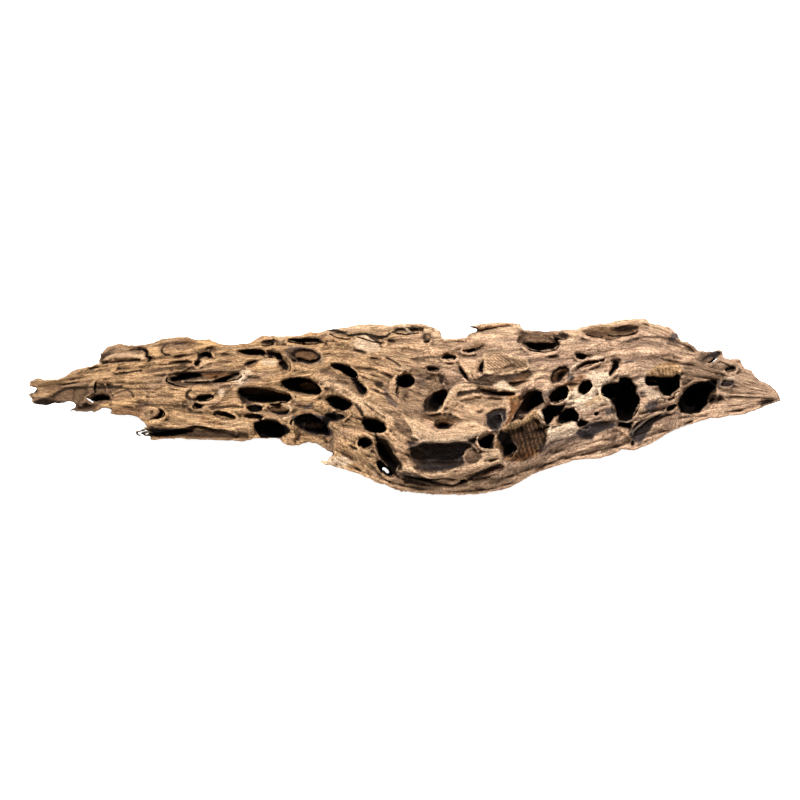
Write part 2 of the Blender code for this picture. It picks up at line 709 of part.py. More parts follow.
def tidy(body):
    """Drops loose scraps and slivers, and centres the wood over the origin, on the ground."""
    mesh = bmesh.new()
    mesh.from_mesh(body.data)
    bmesh.ops.triangulate(mesh, faces=mesh.faces)
    close_short_edges(mesh)
    pieces = sorted(islands(mesh), key=len)
    for scrap in pieces[:-1]:
        bmesh.ops.delete(mesh, geom=list(scrap), context="VERTS")
    bmesh.ops.dissolve_degenerate(mesh, edges=mesh.edges, dist=0.00002)
    bmesh.ops.triangulate(mesh, faces=mesh.faces)
    low = Vector([min(v.co[axis] for v in mesh.verts) for axis in range(3)])
    high = Vector([max(v.co[axis] for v in mesh.verts) for axis in range(3)])
    middle = (low + high) / 2
    bmesh.ops.translate(mesh, verts=mesh.verts, vec=(-middle.x, -middle.y, -low.z))
    print("moved by", -middle.x, -middle.y, -low.z)
    print("triangles", len(mesh.faces), "size", high - low)
    mesh.to_mesh(body.data)
    mesh.free()


def finish(body):
    """Gives the wood its material and its shading."""
    material = bpy.data.materials.new("driftwood")
    material.use_nodes = True
    shader = material.node_tree.nodes["Principled BSDF"]
    shader.inputs["Base Color"].default_value = WOOD_COLOUR
    shader.inputs["Roughness"].default_value = WOOD_ROUGHNESS
    material.diffuse_color = WOOD_COLOUR
    body.data.materials.clear()
    body.data.materials.append(material)
    body.data.shade_smooth()
    body.data.set_sharp_from_angle(angle=math.radians(50))


def main():
    for old in list(bpy.data.objects):
        bpy.data.objects.remove(old)
    wood_collection = new_collection("Honeycomb driftwood")
    wood = slab(wood_collection)
    tree = tree_of(wood)

    hollows = new_collection("Hollows", helper=True)
    front_cutters(tree, HOLLOWS, hollows)
    ridges = new_collection("Ridges", helper=True)
    raised_edges(tree, ridges)
    splinters(tree, ridges)
    carve(wood, hollows, "DIFFERENCE")
    carve(wood, ridges, "UNION")

    burrows = new_collection("Burrows", helper=True)
    tree = tree_of(wood)
    front_cutters(tree, ARM_BURROWS + SHOULDER_BURROWS + BOWL_BURROWS + RIGHT_BURROWS, burrows)
    hidden_cutters(tree, burrows)
    carve(wood, burrows, "DIFFERENCE")
    tidy(wood)
    finish(wood)


if __name__ == "__main__":
    main()
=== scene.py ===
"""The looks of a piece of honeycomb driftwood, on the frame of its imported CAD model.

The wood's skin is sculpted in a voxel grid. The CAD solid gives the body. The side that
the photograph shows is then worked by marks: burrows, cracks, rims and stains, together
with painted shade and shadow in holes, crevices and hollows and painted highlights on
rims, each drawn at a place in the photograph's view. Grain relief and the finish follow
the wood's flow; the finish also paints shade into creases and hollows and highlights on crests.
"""

import logging
import math
from dataclasses import dataclass, field
from enum import Enum

import bmesh
import bpy
import numpy as np
import openvdb
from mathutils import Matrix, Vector
from mathutils.bvhtree import BVHTree

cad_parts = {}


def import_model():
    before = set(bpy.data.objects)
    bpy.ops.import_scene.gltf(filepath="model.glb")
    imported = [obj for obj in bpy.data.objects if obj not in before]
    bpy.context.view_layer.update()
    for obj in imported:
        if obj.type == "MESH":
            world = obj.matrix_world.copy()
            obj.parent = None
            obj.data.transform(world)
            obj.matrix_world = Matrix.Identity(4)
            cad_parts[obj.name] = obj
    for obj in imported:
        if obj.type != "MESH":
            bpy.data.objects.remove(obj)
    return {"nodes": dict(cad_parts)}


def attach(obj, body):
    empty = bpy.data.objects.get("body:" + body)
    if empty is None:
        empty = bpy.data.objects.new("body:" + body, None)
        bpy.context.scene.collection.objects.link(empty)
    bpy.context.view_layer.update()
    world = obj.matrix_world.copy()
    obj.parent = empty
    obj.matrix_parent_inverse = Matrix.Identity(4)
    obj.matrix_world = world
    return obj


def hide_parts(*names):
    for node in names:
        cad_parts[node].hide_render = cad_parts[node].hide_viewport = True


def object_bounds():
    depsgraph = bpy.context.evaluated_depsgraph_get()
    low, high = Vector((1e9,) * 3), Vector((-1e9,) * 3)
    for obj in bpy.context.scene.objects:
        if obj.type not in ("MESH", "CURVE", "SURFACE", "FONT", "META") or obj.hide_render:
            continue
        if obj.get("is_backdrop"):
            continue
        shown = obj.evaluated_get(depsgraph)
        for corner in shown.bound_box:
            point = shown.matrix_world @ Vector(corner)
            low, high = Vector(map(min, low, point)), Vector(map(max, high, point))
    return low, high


logging.basicConfig(level=logging.INFO, format="%(name)s: %(message)s")
log = logging.getLogger("driftwood")

# The photograph's view: real size of a pixel, and where the origin is seen
PIXEL = 0.0006
ORIGIN_COLUMN = 404.0
ORIGIN_ROW = 444.12
EYE_ELEVATION = math.radians(30)
RISE, LEVEL = math.sin(EYE_ELEVATION), math.cos(EYE_ELEVATION)
INTO = Vector((0.0, LEVEL, -RISE))

# The working grid: the voxels, and the part of the view that is worked
VOXEL = 0.0006
BAND = 4
FIRST_COLUMN, LAST_COLUMN = 16, 792
FIRST_ROW, LAST_ROW = 306, 506
CELLS_PER_PIXEL = 2

# Steps over which the view's depths are carried outward, and its burrows closed over
REACH_OUT = 26 * CELLS_PER_PIXEL
CLOSING = 20

# How marks are cut: a mark deeper than HOLE_CUT millimetres is a hole, with a funnel at its
# mouth and a softer lower wall, and other depths are in metres, widths in pixels
HOLE_CUT = 3
FUNNEL = 0.0008
FUNNEL_WIDTH = 4.0
LOWER_WALL = 2.6
LEAST_WALL = 0.0022
THROUGH = 0.05
FIN = 0.0035

# Tints with more red than this, from 0 to 255, are laid on more thinly
PALE_RED = 170
PALE_SHARE = 0.85

# Burrows on the sides that the photograph hides
HIDDEN_BURROWS = 110

# What the thinning aims at. It spares every point in view, so far more triangles are left
AIMED_TRIANGLES = 190000


class Tint(Enum):
    """Colours painted on the wood, from 0 to 255.

    BROWN, RUST, MIDDLE, HONEY and TAN are the wood's own colours. BLACK, PITCH, UMBER, SLATE and
    SHADE mostly paint shade and shadow in holes, crevices and hollows, and under rims and ledges.
    CHARCOAL paints a dark stain together with painted shade under overhangs. STRAW and CREAM are
    pale wood, and they also paint highlights on lit rims and ridges.
    """

    BLACK = (12, 9, 7)
    PITCH = (30, 22, 17)
    UMBER = (58, 42, 32)
    CHARCOAL = (64, 57, 56)
    SLATE = (92, 80, 77)
    SHADE = (116, 90, 70)
    BROWN = (132, 96, 66)
    RUST = (150, 98, 58)
    MIDDLE = (174, 138, 106)
    HONEY = (208, 164, 116)
    TAN = (202, 162, 124)
    STRAW = (220, 182, 144)
    CREAM = (238, 208, 176)


class Mark:
    """Anything drawn in the view: it says how far outside of itself a place lies, in pixels.

    darkness is how strongly a black or pitch tint paints deep shadow into the mark, and tint_edge
    how much softer than its cut the tint's edge is, in pixels.
    """

    darkness = 1.0
    tint_edge = 2.5

    def cover(self, outside: np.ndarray) -> np.ndarray:
        """How far the mark covers each place, from 0 to 1."""
        return fade(0.5 - outside / self.soft())


@dataclass(frozen=True)
class Spot(Mark):
    """A round mark: a place in the view, half sizes in pixels, and a clockwise tilt in degrees.

    cut is its depth in millimetres, and a rise where it is below zero. strength is how
    strongly the tint covers, and edge the share of the radius over which the mark fades.
    """

    column: float
    row: float
    half_long: float
    half_wide: float
    tilt: float
    cut: float
    tint: Tint
    strength: float = 1.0
    edge: float = 0.3

    def soft(self) -> float:
        """The width of the edge in pixels."""
        return self.edge * math.sqrt(self.half_long * self.half_wide)

    def window(self) -> tuple:
        """The columns and rows that the mark can touch.

        Returns:
            The first column and row, and the last column and row.
        """
        reach = 1.3 * max(self.half_long, self.half_wide) + 6
        return (self.column - reach, self.row - reach, self.column + reach, self.row + reach)

    def outside(self, columns: np.ndarray, rows: np.ndarray, wobble: np.ndarray) -> np.ndarray:
        """How far outside of the mark each place lies.

        Args:
            columns: Columns of the view.
            rows: Rows of the view.
            wobble: Seeded noise that makes the edge uneven.

        Returns:
            Distances in pixels, below zero inside of the mark.
        """
        turn = math.radians(self.tilt)
        across, down = columns - self.column, rows - self.row
        long_way = (across * math.cos(turn) + down * math.sin(turn)) / self.half_long
        wide_way = (down * math.cos(turn) - across * math.sin(turn)) / self.half_wide
        reach = np.hypot(long_way, wide_way) - 1
        size = math.sqrt(self.half_long * self.half_wide)
        return reach * size + min(1.9, 0.7 + 0.09 * size) * wobble


@dataclass(frozen=True)
class Stroke(Mark):
    """A line mark through places given as column, row and half width in pixels."""

    places: tuple
    cut: float
    tint: Tint
    strength: float = 1.0
    edge: float = 0.5
    darkness = 0.6
    tint_edge = 0.9

    def soft(self) -> float:
        """The width of the edge in pixels."""
        return max(0.7, self.edge * sum(place[2] for place in self.places) / len(self.places))

    def window(self) -> tuple:
        """The columns and rows that the mark can touch.

        Returns:
            The first column and row, and the last column and row.
        """
        columns, rows, halves = zip(*self.places)
        reach = max(halves) + 7
        return (min(columns) - reach, min(rows) - reach, max(columns) + reach, max(rows) + reach)

    def outside(self, columns: np.ndarray, rows: np.ndarray, wobble: np.ndarray) -> np.ndarray:
        """How far outside of the mark each place lies.

        Args:
            columns: Columns of the view.
            rows: Rows of the view.
            wobble: Seeded noise that makes the edge uneven.

        Returns:
            Distances in pixels, below zero inside of the mark.
        """
        least = np.full(columns.shape, 99.0)
        for start, end in zip(self.places, self.places[1:]):
            away, share = from_line(columns, rows, start, end)
            least = np.minimum(least, away - start[2] - (end[2] - start[2]) * share)
        return least + 0.35 * wobble


@dataclass(frozen=True)
class Patch(Mark):
    """A mark inside a closed line of places. edge is the width in pixels of its edge.

    With a comb, given as an angle in degrees and a spacing in pixels, only parallel
    lines inside the closed line are marked.
    """

    places: tuple
    cut: float
    tint: Tint
    strength: float = 1.0
    edge: float = 1.5
    comb: tuple = ()

    def soft(self) -> float:
        """The width of the edge in pixels."""
        return self.edge

    def window(self) -> tuple:
        """The columns and rows that the mark can touch.

        Returns:
            The first column and row, and the last column and row.
        """
        columns, rows = zip(*self.places)
        reach = self.edge + 6
        return (min(columns) - reach, min(rows) - reach, max(columns) + reach, max(rows) + reach)

    def outside(self, columns: np.ndarray, rows: np.ndarray, wobble: np.ndarray) -> np.ndarray:
        """How far outside of the mark each place lies.

        Args:
            columns: Columns of the view.
            rows: Rows of the view.
            wobble: Seeded noise that makes the edge uneven.

        Returns:
            Distances in pixels, below zero inside of the mark.
        """
        outside = outside_of(columns, rows, self.places) + 0.6 * wobble
        if self.comb:
            turn = math.radians(self.comb[0])
            aside = (rows * math.cos(turn) - columns * math.sin(turn)) / self.comb[1]
            wave = np.cos(2 * math.pi * (aside + 0.2 * wobble)) + 0.6 * wobble
            outside = np.maximum(outside, -self.edge * wave)
        return outside


def from_line(columns: np.ndarray, rows: np.ndarray, start: tuple, end: tuple) -> tuple:
    """How far places lie from a straight line, and the share of the line that is nearest.

    Args:
        columns: Columns of the view.
        rows: Rows of the view.
        start: The column and row where the line starts.
        end: The column and row where it ends.

    Returns:
        Distances in pixels, and shares from 0 to 1.
    """
    along, down = end[0] - start[0], end[1] - start[1]
    share = ((columns - start[0]) * along + (rows - start[1]) * down) / (along**2 + down**2)
    share = np.clip(share, 0, 1)
    return np.hypot(columns - start[0] - share * along, rows - start[1] - share * down), share


def outside_of(columns: np.ndarray, rows: np.ndarray, places: tuple) -> np.ndarray:
    """How far outside of a closed line places lie, below zero inside of it.

    Args:
        columns: Columns of the view.
        rows: Rows of the view.
        places: The closed line, as columns and rows.

    Returns:
        Distances in pixels.
    """
    away = np.full(columns.shape, 99.0)
    inside = np.zeros(columns.shape, bool)
    for start, end in zip(places, places[1:] + places[:1]):
        away = np.minimum(away, from_line(columns, rows, start, end)[0])
        if start[1] != end[1]:
            between = (rows >= min(start[1], end[1])) & (rows < max(start[1], end[1]))
            slant = (end[0] - start[0]) / (end[1] - start[1])
            inside ^= between & (columns < start[0] + (rows - start[1]) * slant)
    return np.where(inside, -away, away)


def fade(share: np.ndarray) -> np.ndarray:
    """A smooth step from 0 to 1."""
    share = np.clip(share, 0.0, 1.0)
    return share * share * (3 - 2 * share)


# A short name for the tables of marks
T = Tint

# Along with the wood's own stains and pale streaks, these marks' black, pitch, umber, shade and
# slate tints paint shade and shadow in holes, crevices and under ledges, and cream and straw ones
# also paint highlights on rims
ARM_MARKS = (
    Patch(((469, 326.5), (474, 325), (490, 323), (520, 323.5), (523, 334), (500, 334.5),
           (478, 333), (476, 329)), 0.0, T.STRAW, 0.9, 1.5),
    Patch(((320, 331), (335, 325), (360, 322), (400, 322), (420, 323), (436, 331), (440, 338),
           (430, 334), (415, 330), (395, 328), (360, 330), (335, 334)), 0.0, T.STRAW, 0.8, 2.0),
    Patch(((552, 333), (575, 331), (590, 326), (620, 320), (640, 317), (655, 322), (660, 330),
           (640, 325.5), (615, 328), (594, 330), (580, 334), (566, 336)),
          0.0, T.STRAW, 0.85, 2.0),
    Patch(((34.4, 388.8), (36.6, 390), (36.3, 393), (33, 394.4), (31.5, 395.8), (33.4, 398.4),
           (30, 396.4), (30.4, 392.4)), 3.5, T.PITCH, 0.97, 1.0),
    Patch(((33, 400.8), (39, 398.8), (47.5, 397.8), (57.5, 399.6), (67.5, 401.6), (72, 404),
           (63.8, 403.4), (53.8, 405), (45, 406), (38.8, 406), (33.8, 403.4)),
          1.4, T.PITCH, 0.95, 1.8),
    Patch(((53.8, 394), (63.8, 388.4), (80, 386.6), (97.5, 387), (113.8, 386), (122, 387),
           (117.5, 390.4), (110, 392.6), (109, 400), (100, 405), (90, 412.5), (67.5, 412.5),
           (73.8, 405), (63.8, 401.3), (47.5, 397.6)), 2.2, T.SHADE, 0.85, 2.4),
    Patch(((68, 412.6), (74, 405.6), (84, 402.6), (98, 403), (95, 408), (90, 413)),
          1.0, T.UMBER, 0.7, 2.0),
    Stroke(((53.8, 394.4, 0.8), (65, 388.4, 1.0), (90, 387.2, 0.9), (107, 386.8, 1.3),
            (121, 386.6, 1.3)), 1.6, T.PITCH, 0.85),
    Patch(((91, 399.4), (95, 396.3), (102.5, 395), (109.4, 396.3), (109, 400), (102.5, 401.3),
           (95, 401.9)), 8, T.BLACK, 1.0, 2.2),
    Patch(((111.3, 395), (123.8, 390.6), (130, 391.3), (133, 396.9), (130, 398.8),
           (118.8, 401.3), (110, 401.3)), -0.6, T.MIDDLE, 0.6, 1.2),
    Stroke(((111, 395.5, 0.7), (119, 392, 0.8), (127, 390, 0.9), (130.8, 392, 1.0),
            (133.2, 397.4, 0.9)), 1.2, T.PITCH, 0.8),
    Stroke(((112, 398, 0.6), (122, 396, 0.6), (130, 397.4, 0.6)), 0.8, T.BROWN, 0.8),
    Patch(((101.3, 404.4), (110, 402.5), (120, 400.4), (132.5, 399), (136.3, 401.3), (130, 405),
           (120, 407.5), (111.3, 407.5), (105, 406.3)), -1.0, T.HONEY, 0.9, 1.2),
    Patch(((104, 412.4), (113, 411), (116, 413), (110, 415.4)), -0.5, T.HONEY, 0.9, 1.0),
    Patch(((112.5, 407.8), (126.3, 407), (140, 407.5), (145, 410), (139, 413.8), (136.3, 417.5),
           (126.3, 415.6), (115, 415.6), (108, 410)), 0.8, T.BROWN, 0.8, 1.6),
    Stroke(((138, 403.4, 0.8), (152.5, 402.8, 0.8)), 0.9, T.SHADE, 0.8),
    Stroke(((136, 406, 0.8), (157.5, 404.6, 0.9), (181, 405.8, 0.9), (192.5, 410, 1.2),
            (201.3, 413, 0.9)), 1.5, T.UMBER, 0.85),
    Patch(((142.5, 412.5), (151.3, 410), (158.8, 411.3), (160, 416.3), (151.3, 418.4),
           (145, 417.5)), 1.6, T.MIDDLE, 0.8, 1.4),
    Patch(((158.4, 408.8), (164.4, 412.5), (162.5, 417.5), (155, 420), (146.3, 421.3),
           (152.5, 418), (158.6, 416), (160, 412.5)), 5, T.PITCH, 0.98, 1.2),
    Spot(146, 422.6, 6.5, 2.0, -8, -0.6, T.HONEY, 0.8, 0.8),
    # Painted shadow under the overhanging lower edge
    Patch(((148.8, 427.2), (170, 428), (195, 428.8), (220, 429.4), (238, 431), (249, 434),
           (249, 438.6), (232.5, 438.8), (197.5, 438.1), (176.3, 437.4), (151.3, 438),
           (147.5, 433.8)), 2.6, T.UMBER, 0.85, 1.4),
    Patch(((148.6, 427.2), (170, 428), (193, 428.8), (194, 433), (176, 436), (151.3, 436.8),
           (148, 433.8)), 3.4, T.BLACK, 0.97, 2.2),
    Stroke(((196, 433.6, 1.4), (215, 434, 1.6), (235, 435.4, 1.2)), 0.4, T.SHADE, 0.7, 1.0),
    Stroke(((152, 439, 1.0), (176, 438.8, 1.0), (200, 439.4, 1.0), (232, 440.6, 1.0)),
           -0.4, T.BROWN, 0.8, 0.8),
    Patch(((135, 432.5), (145, 428.4), (150, 430), (150, 436.3), (136.3, 435.6)),
          0.5, T.PITCH, 0.95, 1.2),
    Patch(((100, 361), (99.6, 356), (105, 350), (112, 346.4), (125, 345.4), (140, 346),
           (146, 348), (132, 350), (116, 351.6), (107, 353)), 0.3, T.SHADE, 0.35, 2.5),
    Patch(((103, 359.6), (106, 356), (112.5, 353.6), (130, 353.4), (145, 356), (145, 359),
           (132.5, 358), (117.5, 357.8), (107, 360.4)), -1.8, T.STRAW, 0.85, 2.0),
    Patch(((105, 361.3), (110, 358.6), (126.3, 357.4), (139, 359.4), (126.3, 360.8),
           (115, 361.9), (103, 363)), 1.2, T.BROWN, 0.85, 1.2),
    Stroke(((102, 363, 1.0), (120, 361.2, 0.9), (139, 360, 0.7)), 3, T.BLACK, 0.92),
    Patch(((99.6, 355), (107.5, 352.4), (110, 353.2), (105, 356.3), (101, 361), (99.4, 360)),
          2.0, T.UMBER, 0.92, 1.2),
    Patch(((146.3, 348.8), (160, 346.5), (161.3, 353.8), (152.5, 355), (148.8, 352.5)),
          0.0, T.HONEY, 0.85, 2.0),
    Patch(((133, 349.8), (138.8, 348), (145, 348.6), (147.8, 351.9), (147.5, 356.6),
           (150, 356), (152.5, 358.1), (149, 362.4), (146.5, 362.8), (148, 359.4),
           (144.8, 357.5), (144.8, 353.8), (141.9, 351), (136.3, 350.8)),
          5, T.BLACK, 1.0, 1.0),
    Stroke(((165.6, 344.4, 0.7), (162.6, 346.9, 1.1), (161, 350, 1.3), (161.8, 353, 1.3),
            (165, 355.6, 1.3), (169, 355, 0.8)), 3.5, T.BLACK, 0.95),
    Patch(((179, 339.6), (187.5, 338.6), (195, 341.3), (194, 344), (185, 342.8)),
          0.6, T.BROWN, 0.85, 2.0),
    Patch(((193.8, 345.4), (199, 341.3), (210, 341.9), (214, 343.8), (205, 347.8),
           (196.3, 349)), -0.8, T.HONEY, 0.85, 2.0),
    Patch(((197, 353), (203.8, 352.4), (210, 350.6), (214.4, 359.4), (211.3, 360), (205, 358),
           (200, 360.6), (198.8, 366.3), (195, 366.3), (193.8, 364.4), (197.5, 360)),
          5, T.PITCH, 1.0, 1.2),
    Spot(203, 363, 3.2, 2.4, -20, -1.0, T.STRAW, 0.8, 0.7),
    Stroke(((120, 373.2, 0.9), (130, 372, 0.8), (141, 370.4, 0.7)), 1.8, T.BLACK, 0.9),
    Patch(((147, 371), (158, 368), (167.5, 366.4), (170, 368.8), (160, 371.6), (150, 373.4)),
          1.0, T.SHADE, 0.85, 1.4),
    Patch(((168.8, 367.5), (177.5, 365.4), (186.3, 360.4), (185.6, 365.6), (189.4, 367.5),
           (182.5, 370.8), (175, 369.6), (170, 370.8)), 1.6, T.UMBER, 0.85, 1.4),
    Stroke(((155, 375.4, 1.0), (163, 375, 1.4), (172, 373.6, 1.2)), 1.0, T.SHADE, 0.8, 1.0),
    Stroke(((155, 389.4, 0.7), (160, 387.4, 0.9), (165, 385.4, 0.7)), 0.8, T.BROWN, 0.8),
    Patch(((166, 380), (171.3, 375.6), (180, 373.6), (197.5, 372.3), (240, 371.4),
           (237.5, 375), (235, 378.8), (225, 381.8), (213.8, 384.4), (195, 385),
           (182.5, 386.6), (171.3, 387.2), (166, 384)), 3.0, T.SHADE, 0.92, 1.6),
    Patch(((170, 379.4), (182.5, 374.3), (198, 372.6), (201, 376.9), (194, 379.4),
           (182.5, 381), (171.5, 382.4)), 9, T.BLACK, 1.0, 1.8),
    Patch(((200, 373.8), (225, 373.3), (233, 373.6), (222.5, 377.3), (215, 380),
           (205, 377.8)), 3.2, T.RUST, 0.8, 1.6),
    Stroke(((184, 382.6, 1.4), (200, 383.4, 1.6), (213, 382.8, 1.9), (225, 379.8, 2.5),
            (237.5, 374.6, 1.9)), 7, T.BLACK, 1.0, 0.7),
    Stroke(((182, 381.6, 0.6), (198, 381, 0.8), (214, 380, 0.7)), -1.6, T.STRAW, 0.9, 0.8),
    Stroke(((180, 373.6, 0.7), (205, 372.2, 0.8), (222, 371.8, 0.8), (240, 371.2, 0.9)),
           3.5, T.BLACK, 0.92),
    Patch(((234, 381), (238, 376), (241, 371.6), (247, 369), (252, 373), (246, 380), (240, 385)),
          -0.9, T.CREAM, 0.7, 2.4),
    Stroke(((191, 389.6, 0.9), (187, 393, 1.3), (186.6, 396.6, 1.5), (191, 399.6, 1.5),
            (195, 400.4, 1.0)), 2.4, T.UMBER, 0.92),
    Stroke(((183, 402, 0.9), (186, 402.6, 0.9), (187.4, 405.2, 0.9), (184.4, 406.4, 0.8),
            (182.6, 404.4, 0.8), (183, 402, 0.8)), 1.8, T.UMBER, 0.85),
    Patch(((202.5, 402.7), (215, 397.7), (222, 391.4), (225, 394.4), (220, 401.3),
           (212.5, 405.4), (205, 411.3), (195, 412), (201.3, 409.4), (203.8, 405.4)),
          -1.4, T.TAN, 0.75, 1.4),
    Spot(222, 392.6, 2.6, 2.2, 0, -0.6, T.CREAM, 0.8, 0.8),
    Patch(((195.4, 400), (197.5, 396.3), (205, 395.4), (216.3, 394), (212.5, 398),
           (205, 401.3), (198.8, 402.6)), 8, T.BLACK, 1.0, 1.0),
    Patch(((190.8, 405), (196.3, 403.7), (202.7, 405.6), (201.3, 408.9), (196.3, 409.2)),
          7, T.BLACK, 1.0, 1.0),
    Spot(193, 402.4, 3.4, 1.4, 0, -0.6, T.STRAW, 0.7, 0.8),
    Stroke(((212, 409.4, 0.8), (220, 407.4, 1.1), (230, 406, 1.0), (238.8, 406.2, 0.7)),
           1.8, T.UMBER, 0.92),
    Patch(((217.5, 411.3), (226.3, 413), (235, 416), (239.4, 417.6), (232.5, 419.6),
           (225, 418), (218, 416.6), (213.4, 412.5)), 3.4, T.UMBER, 0.97, 1.2),
    Patch(((243, 416.8), (246.3, 414.4), (253.8, 413.4), (262.5, 414.4), (265.2, 416.9),
           (261.3, 419.4), (252.5, 420.1), (245, 418.9)), 4.2, T.UMBER, 1.0, 1.1),
    Patch(((222, 421), (236, 421.6), (250, 425), (249, 430), (236, 428), (224, 426)),
          -0.4, T.STRAW, 0.45, 3.0),
    Stroke(((160, 423.4, 0.7), (185, 424.5, 0.8), (212, 424.6, 0.7)), 0.7, T.SHADE, 0.6),
)
